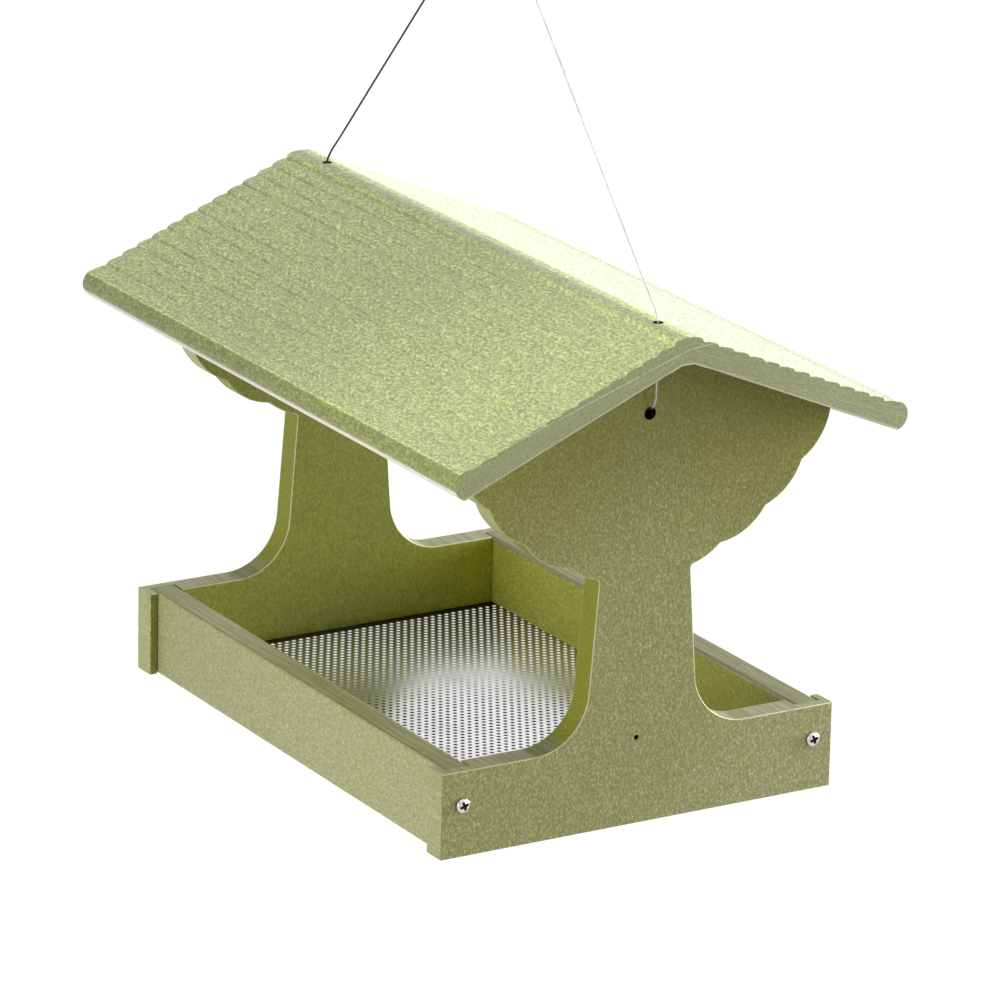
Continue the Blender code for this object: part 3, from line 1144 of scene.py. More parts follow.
@dataclass(frozen=True)
class BoardFinish(Finish):
    """Moulded board of mixed olive plastic, with flecks drawn out along the board."""

    grain: Grain
    pale: Colour = (1.48, 1.50, 2.20)
    deep: Colour = (0.72, 0.76, 0.66)
    cool: Colour = (0.95, 0.97, 1.35)
    # the colour of the painted edge highlight, which the saw's scores share
    rubbed: Colour = (0.760, 0.780, 0.480)
    contrast: float = 0.75
    roughness: float = 0.46
    bump: float = 0.00006
    surface: Surface = Surface.FACE
    saw_pitch: float = 0.0
    # the tint that pales the roof towards its near end; it also turns on the painted shade of the ridge and
    # the painted highlight of the back slope
    paling_and_painted_light: Colour | None = None
    levelling: float = 0.0
    # painted light and shade on the faces that look up
    top_light: Colour | None = None
    # painted shade under the roof: its tint and how far down it reaches
    shelter_tint: Colour = (0.72, 0.71, 0.22)
    shelter_reach: float = 0.15
    fade: Fade | None = None
    ior: float = 1.5
    cloudiness = 0.12

    def shade(self, factor: Colour) -> Colour:
        """The ground colour, each channel times the factor's."""
        return tuple(part * share for part, share in zip(self.ground, factor))

    def wire(self, bench: Bench, place: Value) -> dict[str, object]:
        """Builds the flecked board, with what the saw adds and the painted light and shade: edge highlights,
        tops, shingles, eaves, the roof's ridge and back, and the shade under the roof.

        Args:
            bench: Where the nodes go.
            place: The place on the piece.

        Returns:
            What the shader's sockets hold.
        """
        tones = {"Ground": self.ground, "Pale": self.shade(self.pale), "Deep": self.shade(self.deep),
                 "Cool": self.shade(self.cool)}
        flecks = Flecks().on(bench, Coordinates=place, Stretch=self.grain.value, Contrast=self.contrast,
                             **tones)
        relief = {"Height": flecks["Height"], "Strength": 1.0, "Distance": self.bump}
        colour = flecks["Color"]
        if self.surface is Surface.RUBBED_EDGE:
            colour = PaintedEdgeHighlight().over(place, colour, Rubbed=self.rubbed)
        if self.surface is Surface.CUT:
            saw = SawMarks().on(bench, Coordinates=place, Pitch=self.saw_pitch, Color=colour,
                                Score=self.rubbed)
            colour = saw["Color"]
            relief["Height"] = saw["Height"]
            if self.saw_pitch > 0.0:
                colour = PaleEndLineAndRimHighlight().over(place, colour)
        if self.fade is not None:
            fade = self.fade
            colour = Drift().over(place, colour, Way=fade.way, Start=fade.start, End=fade.end,
                                  Last=colour * fade.tint)
        if self.top_light is not None:
            colour = PaintedTopLight().on(bench, Color=colour, Dusty=self.top_light)["Color"]
        if self.levelling > 0.0:
            colour = PaintedEaveLight().over(place, PaintedShingleLight().over(place, colour))
            own = bench.value("ShaderNodeTexCoord", output="Normal")
            levelled = LevelledShingles().on(bench, Coordinates=place, Normal=own, Amount=self.levelling)
            relief["Normal"] = levelled["Normal"]
        if self.paling_and_painted_light is not None:
            colour = PalingAndPaintedLight().over(place, colour, Tint=self.paling_and_painted_light)
        if self.shelter_reach > 0.0:
            colour = PaintedRoofShade().over(place, colour, Tint=self.shelter_tint, Reach=self.shelter_reach)
        rough = flecks["Cloud"] * self.cloudiness + (self.roughness - self.cloudiness / 2)
        return {"Base Color": colour, "Roughness": rough, "Normal": bench.value("ShaderNodeBump", relief),
                "IOR": self.ior}


@dataclass(frozen=True)
class SteelFinish(Finish):
    """Plain or stainless steel, brushed along one way, which may darken across the feeder: a painted
    darkening that stands in for shade and dark reflections.
    """

    stretch: Colour
    dull: Colour
    gloss: float
    painted_dark: tuple[float, float] | None = None
    bump: float = 0.00001
    away_from_light = (0.89, -0.455, 0.0)
    painted_dark_colour = (0.05, 0.05, 0.05)

    def wire(self, bench: Bench, place: Value) -> dict[str, object]:
        """Builds the brushed metal.

        Args:
            bench: Where the nodes go.
            place: The place on the piece.

        Returns:
            What the shader's sockets hold.
        """
        brushed = Brushing().on(bench, Coordinates=place, Stretch=self.stretch, Color=self.ground,
                                Dull=self.dull, Gloss=self.gloss)
        colour = brushed["Color"]
        if self.painted_dark is not None:
            start, end = self.painted_dark
            colour = Drift().over(place, colour, Way=self.away_from_light, Start=start, End=end,
                                  Last=self.painted_dark_colour)
        relief = {"Height": brushed["Height"], "Strength": 1.0, "Distance": self.bump}
        return {"Base Color": colour, "Roughness": brushed["Roughness"], "Metallic": 1.0,
                "Normal": bench.value("ShaderNodeBump", relief)}


def board_set(face: BoardFinish, cut: BoardFinish, inner: BoardFinish) -> list[bpy.types.Material]:
    """The materials of a board, in the order of Surface.

    Args:
        face: The finish of its broad outer faces, which the edges with their painted highlight share.
        cut: The finish that the saw leaves.
        inner: A darker, richer copy of the face's finish for its inner faces: painted shade.

    Returns:
        The materials of the face, the edge with its painted highlight, the cut, the shaded inner face and a
        hole's wall painted near black as shade.
    """
    edge = replace(face, name=f"{face.name}_rubbed", surface=Surface.RUBBED_EDGE)
    # a hole's wall painted near black: painted shade inside the hole
    bore = replace(inner, name="dark_bore", surface=Surface.BORE, ground=(0.020, 0.020, 0.010),
                   shelter_reach=0.0, top_light=None, fade=None)
    return [finish.material() for finish in (face, edge, cut, inner, bore)]


def take_materials(obj: bpy.types.Object, materials: Sequence[bpy.types.Material]) -> None:
    """Fills an object's empty material slots, in order."""
    for material in materials:
        obj.data.materials.append(material)


def report_piece(obj: bpy.types.Object) -> None:
    """Logs a piece and its number of faces."""
    LOG.info("%s: %d faces", obj.name, len(obj.data.polygons))


@dataclass
class StrandedCable:
    """A wire cable of twisted strands along a way."""

    diameter: float = 0.0012
    lay_length: float = 0.0095
    strands: int = 6
    points_per_strand: int = 4
    ring_spacing: float = 0.0005

    def finish(self) -> SteelFinish:
        """Stainless wire, duller than a polished part, with painted shade on the leg away from the light."""
        return SteelFinish("cable_wire", (0.50, 0.50, 0.49), (900.0, 900.0, 300.0), dull=(0.36, 0.36, 0.35),
                           gloss=0.22, painted_dark=(0.03, -0.05))

    def hollow(self, turn: float) -> float:
        """How far the cable's skin lies from its middle.

        Args:
            turn: Angle from the crest of a strand.

        Returns:
            The distance, which is half the diameter on the crest.
        """
        strand = self.diameter / 6
        middle = self.diameter / 3
        reach = max(strand**2 - (middle * math.sin(turn)) ** 2, 0.0)
        return middle * math.cos(turn) + math.sqrt(reach)

    def tube(self, name: str, way: Sequence[Vector]) -> bpy.types.Object:
        """A closed tube of twisted strands.

        Args:
            name: Name of the new object.
            way: The points that its middle follows, all at one Y.

        Returns:
            The new object.
        """
        count = self.strands * self.points_per_strand
        share = math.tau / self.strands
        turns = [i * math.tau / count for i in range(count)]
        reaches = [self.hollow((turn + share / 2) % share - share / 2) for turn in turns]
        side = Vector((0.0, 1.0, 0.0))
        bm = bmesh.new()
        rings = []
        gone = 0.0
        for index, place in enumerate(way):
            before = way[max(index - 1, 0)]
            after = way[min(index + 1, len(way) - 1)]
            ahead = (after - before).normalized()
            top_light = side.cross(ahead).normalized()
            gone += (place - before).length
            twist = math.tau * gone / self.lay_length
            ring = []
            for turn, reach in zip(turns, reaches):
                offset = side * math.cos(turn + twist) + top_light * math.sin(turn + twist)
                ring.append(bm.verts.new(place + offset * reach))
            rings.append(ring)
        for ring, following in zip(rings, rings[1:]):
            for i in range(count):
                j = (i + 1) % count
                bm.faces.new((ring[i], ring[j], following[j], following[i]))
        bm.faces.new(list(reversed(rings[0])))
        bm.faces.new(rings[-1])
        bmesh.ops.recalc_face_normals(bm, faces=bm.faces)
        mesh = bpy.data.meshes.new(name)
        bm.to_mesh(mesh)
        bm.free()
        obj = bpy.data.objects.new(name, mesh)
        bpy.context.scene.collection.objects.link(obj)
        take_materials(obj, [self.finish().material()])
        smooth(obj, 50.0)
        return obj


@dataclass
class HangingLoop:
    """The cable over the hook, from one roof hole to the other."""

    route: tuple[tuple[float, float], ...] = ((0.0000, 0.0000), (0.0034, 0.0013), (0.0070, 0.0049),
                                              (0.0410, 0.0425), (0.0850, 0.0905), (0.1290, 0.1385),
                                              (0.1660, 0.1790), (0.1775, 0.1912))
    hole_place: float = CABLE_PLACE
    rise: float = CABLE_RISE
    bend_inset: float = 0.0006
    bend_height: float = 0.0022
    roof_lift: float = 0.0850

    def build(self) -> bpy.types.Object:
        """Builds the loop.

        Returns:
            The loop.
        """
        exit_height = -self.rise + SEAT_GAP / 2
        half = [Vector((out, 0.0, -down)) for out, down in self.route]
        half.append(Vector((self.hole_place - self.bend_inset, 0.0, exit_height + self.bend_height)))
        half.append(Vector((self.hole_place, 0.0, exit_height)))
        route = [Vector((-point.x, point.y, point.z)) for point in reversed(half)] + half[1:]
        cable = StrandedCable()
        way = smooth_way(route, cable.ring_spacing)
        loop = cable.tube("cable_loop", way)
        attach(loop, "tray")
        length_of(way)
        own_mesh(loop)
        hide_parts("hanging_cable")
        report_piece(loop)
        return loop


@dataclass
class CableTail:
    """The end of the cable, from its stop inside a panel out to the roof's hole."""

    side: Side
    panel_face: float = PANEL_FACE
    panel_thickness: float = BOARD
    hole_height: float = CABLE_HOLE_HEIGHT
    lift_in_hole: float = CABLE_LIFT_IN_HOLE
    hole_place: float = CABLE_PLACE
    rise: float = CABLE_RISE
    stop_reach: float = 0.0086
    cable_end: float = 0.0015
    straight_from: float = 0.0150
    bends: tuple[tuple[float, float], ...] = ((-0.0159, 0.0018), (-0.0080, 0.0018), (-0.0010, 0.0022),
                                              (0.0032, 0.0048), (0.0052, 0.0096))

    def build(self) -> bpy.types.Object:
        """Builds the tail.

        Returns:
            The tail.
        """
        inside = self.panel_face - self.panel_thickness - self.stop_reach - self.cable_end
        level = self.hole_height + self.lift_in_hole
        bends = [(self.panel_face + out, self.hole_height + up) for out, up in self.bends]
        top = HANG_HEIGHT - self.rise - SEAT_GAP / 2
        points = [(inside, level), *bends, (self.hole_place, self.hole_height + self.straight_from),
                  (self.hole_place, top)]
        route = [Vector((self.side.value * x, 0.0, z - HANG_HEIGHT)) for x, z in points]
        cable = StrandedCable()
        way = smooth_way(list(reversed(route)), cable.ring_spacing)
        label = self.side.name.lower()
        tail = cable.tube(f"{label}_cable_end", way)
        place = self.side.value * self.hole_place
        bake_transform(tail)
        length_of(way)
        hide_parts(f"{label}_cable_tail")
        report_piece(tail)
        return tail


@dataclass(frozen=True)
class Groove:
    """The groove that holds the floor's edge, in the end panels and in the rails."""

    low: float = 0.0072
    high: float = 0.0090
    depth: float = 0.0050


@dataclass
class EndPanel:
    """An end panel: foot, notches, neck and the scalloped head that carries the roof."""

    side: Side
    face: float = PANEL_FACE
    thickness: float = BOARD
    tray_width: float = 0.2540
    tray_height: float = TRAY_HEIGHT
    neck_width: float = 0.0588
    neck_height: float = 0.0968
    neck_flare: float = math.radians(4.4)
    notch_radius: float = 0.0340
    head_height: float = 0.1304
    head_cusps: tuple[tuple[float, float], ...] = ((0.0189, 0.0098), (0.0481, 0.0274), (0.0711, 0.0507))
    head_reach: float = 0.0893
    scallop_radius: float = 0.0380
    router_radius: float = 0.0026
    roof_flat: float = 0.0080
    rail_face: float = RAIL_FACE
    rail_thickness: float = BOARD
    dado_clearance: float = 0.0006
    dado_depth: float = 0.0095
    groove: Groove = Groove()
    screw_height: float = SCREW_HEIGHT
    screw_hole: float = 0.0048
    cable_hole: float = 0.0074
    cable_hole_drop: float = 0.0388
    mark_place: tuple[float, float] = (-0.0029, 0.0510)
    mark_diameter: float = 0.0030
    mark_depth: float = 0.0080
    edge_round: float = 0.0005
    rim_bend: float = 1.2

    def outline(self) -> list[Vector]:
        """The panel's outline in the plane across the ridge, from the tray's underside.

        Returns:
            The points, as Y and height.
        """
        slope = math.tan(ROOF_PITCH)
        neck_top = Vector((self.neck_width / 2, self.tray_height + self.neck_height))
        apex = neck_top.y + self.head_height
        notch_height = self.tray_height + self.notch_radius
        neck_at_notch = self.neck_width / 2 + (neck_top.y - notch_height) * math.tan(self.neck_flare)
        notch_centre = Vector((neck_at_notch + self.notch_radius / math.cos(self.neck_flare), notch_height))
        notch_start = notch_centre - Vector((0.0, self.notch_radius))
        lean = Vector((math.cos(self.neck_flare), math.sin(self.neck_flare)))
        notch_end = notch_centre - self.notch_radius * lean
        head_end = self.neck_width / 2 + self.head_reach
        cusps = [neck_top + Vector(cusp) for cusp in self.head_cusps]
        cusps.append(Vector((head_end, apex - slope * head_end)))
        corner = Vector((self.tray_width / 2, self.tray_height))
        half = [Vector((self.tray_width / 2, 0.0)), corner, notch_start]
        half += arc(notch_start, notch_end, -bulge_of(notch_start, notch_end, self.notch_radius), 24)
        half.append(neck_top)
        for start, end in zip([neck_top] + cusps, cusps):
            half += arc(start, end, bulge_of(start, end, self.scallop_radius), 9)
        half.append(Vector((self.roof_flat / 2, apex - slope * self.roof_flat / 2)))
        return routed(both_sides(half), self.router_radius)

    def build(self) -> bpy.types.Object:
        """Builds and dresses the panel in place of its CAD solid.

        Returns:
            The panel.
        """
        label = self.side.name.lower()
        way = self.side.value
        inner = way * (self.face - self.thickness)
        places = [Vector((inner, point.x, point.y - HANG_HEIGHT)) for point in self.outline()]
        panel = ring_of_points(f"{label}_scalloped_panel", places, filled=True)
        take_materials(panel, self.materials())
        extrude(panel, (way * self.thickness, 0.0, 0.0))
        self.mark_cut_faces(panel)
        ease_edges(panel, self.edge_round, 3, self.is_rim)
        self.mark_outer_rims(panel)
        self.cut_joints(panel)
        self.drill(panel)
        smooth(panel, 32.0)
        flatten_shading(panel)
        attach(panel, "tray")
        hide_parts(f"{label}_end_panel")
        report_piece(panel)
        return panel

    def materials(self) -> list[bpy.types.Material]:
        """The panel's finishes: painted light that pales the foot towards its back, painted shade under the
        roof, and darker, richer copies on the inner and notch faces as painted shade.

        Returns:
            The materials, in the order of Surface.
        """
        # painted light: paler towards the back of the foot
        to_foot = Fade((0.0, 1.0, -0.8), 0.36, 0.47, (1.17, 1.16, 1.38))
        face = BoardFinish("panel_face", (0.366, 0.366, 0.114), Grain.UPRIGHT, fade=to_foot)
        # painted light and shade on the faces that look up: darker on the foot's tops, paler in the notches
        top_tone = (0.335, 0.338, 0.176)
        cut = replace(face, name="panel_cut", surface=Surface.CUT, ground=(0.450, 0.452, 0.165), contrast=0.3,
                      shelter_reach=0.0, fade=None, top_light=top_tone)
        # the inner faces: a darker, richer shaded copy, with painted light towards the back of the foot
        inner = replace(face, name="panel_inner", surface=Surface.INNER, ground=(0.292, 0.312, 0.040),
                        pale=(1.30, 1.30, 1.60), contrast=0.62, shelter_reach=0.0,
                        fade=replace(to_foot, tint=(1.38, 1.34, 0.72)))
        notch = replace(inner, name="panel_notch", ground=(0.268, 0.280, 0.024), contrast=0.4, fade=None,
                        top_light=top_tone, ior=1.3)
        return board_set(face, cut, inner) + [notch.material()]

    def mark_cut_faces(self, panel: bpy.types.Object) -> None:
        """Gives the sawn faces, the inner faces and the notch faces their own slots, the last two for the
        shaded copies of the finish.

        Args:
            panel: The panel, before its edges are eased.
        """
        for polygon in panel.data.polygons:
            sawn = abs(polygon.normal.x) < 0.5
            if sawn and abs(polygon.center.y) < self.head_reach:
                polygon.material_index = Surface.NOTCH.value
            elif not sawn and polygon.normal.x * self.side.value < 0.0:
                polygon.material_index = Surface.INNER.value
            elif sawn:
                polygon.material_index = Surface.CUT.value

    def mark_outer_rims(self, panel: bpy.types.Object) -> None:
        """Leaves the upright rims of the foot and the rim it stands on without the painted edge highlight.

        Args:
            panel: The panel, with its edges eased.
        """
        half = max(abs(vertex.co.y) for vertex in panel.data.vertices) - self.edge_round
        lowest = min(vertex.co.z for vertex in panel.data.vertices) + self.edge_round
        for polygon in panel.data.polygons:
            outer = abs(polygon.center.y) > half or polygon.center.z < lowest
            if outer and polygon.material_index == Surface.RUBBED_EDGE.value:
                polygon.material_index = Surface.FACE.value

    def is_rim(self, edge: bmesh.types.BMEdge) -> bool:
        """Whether an edge lies between a broad face and the outline's cut faces."""
        return len(edge.link_faces) == 2 and edge.calc_face_angle() > self.rim_bend and self.is_across(edge)

    def is_across(self, edge: bmesh.types.BMEdge) -> bool:
        """Whether an edge runs in the plane of the panel."""
        return reach_along_x(edge) < TOUCHING

    def cut_joints(self, panel: bpy.types.Object) -> None:
        """Cuts the dadoes that hold the rails and the groove that holds the floor.

        Args:
            panel: The panel, with its edges eased.
        """
        way = self.side.value
        inner = way * (self.face - self.thickness)
        beyond = inner - way * OVERCUT
        for flank in Flank:
            near = flank.value * (self.rail_face - self.rail_thickness - self.dado_clearance)
            far = flank.value * (self.rail_face + self.dado_clearance)
            low = (beyond, near, -OVERCUT - HANG_HEIGHT)
            high = (inner + way * self.dado_depth, far, self.tray_height + OVERCUT - HANG_HEIGHT)
            cut_away(panel, box_between("dado", low, high))
        end = self.rail_face - self.rail_thickness + self.groove.depth
        low = (beyond, -end, self.groove.low - HANG_HEIGHT)
        high = (inner + way * self.groove.depth, end, self.groove.high - HANG_HEIGHT)
        cut_away(panel, box_between("floor_groove", low, high))

    def drill(self, panel: bpy.types.Object) -> None:
        """Drills the cable's hole, the screws' holes and the small blind hole under the neck.

        Args:
            panel: The panel, with its joints cut.
        """
        way = self.side.value
        start = min(way * (self.face + OVERCUT), way * (self.face - self.thickness - OVERCUT))
        length = self.thickness + 2 * OVERCUT
        apex = self.tray_height + self.neck_height + self.head_height
        middle = (start, 0.0, apex - self.cable_hole_drop - HANG_HEIGHT)
        cut_away(panel, rod_along_x("cable_hole", self.cable_hole / 2, middle, length, 48), Surface.BORE)
        for flank in Flank:
            line = flank.value * (self.rail_face - self.rail_thickness / 2)
            seat = (start, line, self.screw_height - HANG_HEIGHT)
            cut_away(panel, rod_along_x("screw_hole", self.screw_hole / 2, seat, length, 24))
        depth = self.mark_depth + OVERCUT
        bottom = way * (self.face - self.mark_depth)
        y, height = self.mark_place
        foot = (min(bottom, bottom + way * depth), y, height - HANG_HEIGHT)
        cut_away(panel, rod_along_x("pilot_mark", self.mark_diameter / 2, foot, depth, 24), Surface.BORE)


@dataclass
class SideRail:
    """A long rail of the tray, with its upper and lower edges rounded."""

    flank: Flank
    face: float = RAIL_FACE
    thickness: float = BOARD
    height: float = TRAY_HEIGHT
    half_length: float = 0.1711
    eased_edge: float = 0.0020
    end_round: float = 0.0004
    groove: Groove = Groove()
    pilot_hole: float = 0.0048
    pilot_depth: float = 0.0229
    screw_height: float = SCREW_HEIGHT

    def build(self) -> bpy.types.Object:
        """Builds and dresses the rail in place of its CAD solid.

        Returns:
            The rail.
        """
        label = self.flank.name.lower()
        hand = self.flank.value
        outer = hand * self.face
        inner = hand * (self.face - self.thickness)
        rail = box_between(f"{label}_tray_rail", (-self.half_length, outer, -HANG_HEIGHT),
                           (self.half_length, inner, self.height - HANG_HEIGHT))
        with editing(rail):
            turn_outwards()
        take_materials(rail, self.materials())
        for polygon in rail.data.polygons:
            if polygon.normal.y * hand < -0.5:
                polygon.material_index = Surface.INNER.value
        ease_edges(rail, self.eased_edge, 6, self.is_long, Surface.FACE)
        self.ease_ends(rail)
        beyond = self.half_length + OVERCUT
        bottom = hand * (self.face - self.thickness + self.groove.depth)
        low = (-beyond, bottom, self.groove.low - HANG_HEIGHT)
        high = (beyond, inner - hand * OVERCUT, self.groove.high - HANG_HEIGHT)
        cut_away(rail, box_between("floor_groove", low, high))
        line = hand * (self.face - self.thickness / 2)
        for start in (-beyond, self.half_length - self.pilot_depth):
            place = (start, line, self.screw_height - HANG_HEIGHT)
            length = self.pilot_depth + OVERCUT
            cut_away(rail, rod_along_x("pilot_hole", self.pilot_hole / 2, place, length, 24))
        smooth(rail, 32.0)
        flatten_shading(rail)
        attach(rail, "tray")
        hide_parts(f"{label}_side_rail")
        report_piece(rail)
        return rail

    def materials(self) -> list[bpy.types.Material]:
        """The rail's finishes: darker towards the far end outside, a darker ground for the back rail and
        darker tops under the roof as painted shade, and a darker, richer copy on the inner face as painted
        shade that deepens towards the near end.

        Returns:
            The materials, in the order of Surface.
        """
        to_far_end = Fade((-1.0, 0.0, 0.0), -0.08, 0.16, (0.88, 0.88, 0.85))
        label = self.flank.name.lower()
        # the back rail's darker ground is painted shade, a copy that tempers the stronger light on the back
        ground = (0.465, 0.470, 0.188) if self.flank is Flank.FRONT else (0.345, 0.350, 0.175)
        # painted shade on the rails' tops, where the roof shades them
        face = BoardFinish(f"{label}_rail_face", ground, Grain.LENGTHWISE, contrast=0.46,
                           shelter_reach=0.0, top_light=(0.236, 0.242, 0.088), fade=to_far_end)
        cut = replace(face, name=f"{label}_rail_cut", surface=Surface.CUT)
        # painted shade on the inner face, darker towards the near end
        inner = replace(face, name="rail_inner", surface=Surface.INNER, ground=(0.405, 0.420, 0.060),
                        contrast=0.46, fade=Fade((1.0, 0.0, 0.0), 0.0, 0.15, (0.66, 0.66, 0.58)))
        return board_set(face, cut, inner)

    def is_long(self, edge: bmesh.types.BMEdge) -> bool:
        """Whether an edge runs the whole length of the rail."""
        return reach_along_x(edge) > self.half_length

    def ease_ends(self, rail: bpy.types.Object) -> None:
        """Breaks the edges round the two sawn ends."""
        ease_edges(rail, self.end_round, 2, lambda edge: not self.is_long(edge) and self.is_end(edge))

    def is_end(self, edge: bmesh.types.BMEdge) -> bool:
        """Whether an edge lies at an end of the rail."""
        return lies_at_end(edge, self.half_length)


@dataclass
class PerforatedFloor:
    """The tray's floor: a sheet punched with rows of staggered round holes."""

    half_length: float = 0.1666
    half_width: float = 0.1108
    thickness: float = 0.0010
    upper_face: float = 0.0087
    hole: float = 0.0026
    pitch: float = 0.0047625
    hole_sides: int = 10
    rows: int = 76
    holes_in_row: int = 45
    weld: float = 1e-5

    def materials(self) -> list[bpy.types.Material]:
        """The floor's finishes.

        Returns:
            The materials of the rolled sheet, its dark end margins and the walls of its holes.
        """
        rolled = (60.0, 1400.0, 600.0)
        punched = (900.0, 900.0, 900.0)
        # painted dark reflection towards the far end, where the sheet mirrors the dark far panel
        sheet = SteelFinish("perforated_sheet", (0.86, 0.86, 0.86), rolled, dull=(0.78, 0.78, 0.78),
                            gloss=0.17, painted_dark=(-0.01, -0.24))
        # the margins' near-black is painted: it stands in for the dark reflection and shade beside the end
        # panels
        margin = SteelFinish("sheet_margin", (0.04, 0.04, 0.045), rolled, dull=(0.03, 0.03, 0.03), gloss=0.30)
        # painted shade on the holes' walls towards the near end, where the near panel and rail shadow them
        walls = SteelFinish("punched_walls", (0.92, 0.92, 0.90), punched, dull=(0.85, 0.85, 0.83),
                            gloss=0.35, painted_dark=(-0.10, 0.0))
        return [finish.material() for finish in (sheet, margin, walls)]

    def build(self) -> bpy.types.Object:
        """Builds and dresses the floor in place of its coarser CAD solid.

        Returns:
            The floor.
        """
        floor = self.patch()
        row_step = self.pitch * math.sqrt(3) / 2
        self.repeat(floor, 2, (row_step, self.pitch / 2, 0.0))
        self.repeat(floor, self.holes_in_row, (0.0, self.pitch, 0.0))
        self.repeat(floor, self.rows // 2, (2 * row_step, 0.0, 0.0))
        top = self.upper_face - HANG_HEIGHT
        centre = Vector(((self.rows - 1) * row_step / 2, (self.holes_in_row - 0.5) * self.pitch / 2, 0.0))
        with editing(floor):
            bpy.ops.mesh.select_all(action="SELECT")
            bpy.ops.transform.translate(value=Vector((0.0, 0.0, top)) - centre)
        self.add_margin(floor, top)
        take_materials(floor, self.materials())
        row_end = centre.x + self.hole / 2
        for polygon in floor.data.polygons:
            nearest = min(abs(floor.data.vertices[index].co.x) for index in polygon.vertices)
            if abs(polygon.center.x) > row_end or nearest > row_end - self.hole:
                polygon.material_index = FloorSurface.MARGIN.value
        self.thicken(floor)
        smooth(floor, 40.0)
        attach(floor, "tray")
        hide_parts("mesh_floor")
        report_piece(floor)
        return floor

    def patch(self) -> bpy.types.Object:
        """One hole in its six-sided patch of sheet, whose outer edges are marked as a seam.

        Returns:
            The patch.
        """
        corner = self.pitch / math.sqrt(3)
        turns = [i * math.tau / self.hole_sides for i in range(self.hole_sides)]
        rim = [Vector((math.cos(turn), math.sin(turn), 0.0)) * self.hole / 2 for turn in turns]
        sixths = [i * math.pi / 3 for i in range(6)]
        corners = [Vector((math.cos(turn), math.sin(turn), 0.0)) * corner for turn in sixths]
        patch = ring_of_points("perforated_floor", rim, filled=False)
        outer = ring_of_points("patch", corners, filled=False)
        make_active(patch)
        outer.select_set(True)
        bpy.ops.object.join()
        with editing(patch):
            pick_edges(patch, lambda edge: edge.verts[0].co.length > 0.9 * corner)
            bpy.ops.mesh.mark_seam(clear=False)
            bpy.ops.mesh.select_all(action="SELECT")
            bpy.ops.mesh.bridge_edge_loops()
            turn_outwards()
        self.face_up(patch)
        return patch

    def face_up(self, sheet: bpy.types.Object) -> None:
        """Turns a sheet's faces over if they look down.

        Args:
            sheet: The flat sheet, whose faces all look one way.
        """
        if sum(polygon.normal.z for polygon in sheet.data.polygons) < 0:
            with editing(sheet):
                bpy.ops.mesh.select_all(action="SELECT")
                bpy.ops.mesh.flip_normals()

    def repeat(self, floor: bpy.types.Object, count: int, step: Sequence[float]) -> None:
        """Repeats the sheet made so far in one way.

        Args:
            floor: The sheet.
            count: How many there are in the end.
            step: How far each lies from the one before.
        """
        modify(floor, "ARRAY", count=count, use_relative_offset=False, use_constant_offset=True,
               constant_offset_displace=step, use_merge_vertices=True, merge_threshold=self.weld)

    def add_margin(self, floor: bpy.types.Object, top: float) -> None:
        """Fills the unpunched margin between the outer holes and the sheet's edges.

        Args:
            floor: The punched sheet.
            top: Height of the sheet's upper face.
        """
        corners = [Vector((x * self.half_length, y * self.half_width, top))
                   for x, y in ((-1, -1), (1, -1), (1, 1), (-1, 1))]
        edge = ring_of_points("sheet_edge", corners, filled=False)
        make_active(floor)
        edge.select_set(True)
        bpy.ops.object.join()
        with editing(floor):
            bpy.ops.mesh.select_mode(type="VERT")
            bpy.ops.mesh.select_all(action="SELECT")
            bpy.ops.mesh.remove_doubles(threshold=self.weld)
            pick_edges(floor, lambda edge: edge.is_wire or (edge.is_boundary and edge.seam))
            bpy.ops.mesh.fill(use_beauty=True)
            bpy.ops.mesh.select_all(action="SELECT")
            bpy.ops.mesh.mark_seam(clear=True)
            turn_outwards()
        self.face_up(floor)

    def thicken(self, floor: bpy.types.Object) -> None:
        """Gives the sheet its thickness, below the upper face."""
        modify(floor, "SOLIDIFY", thickness=self.thickness, offset=-1.0,
               material_offset_rim=FloorSurface.WALL.value)


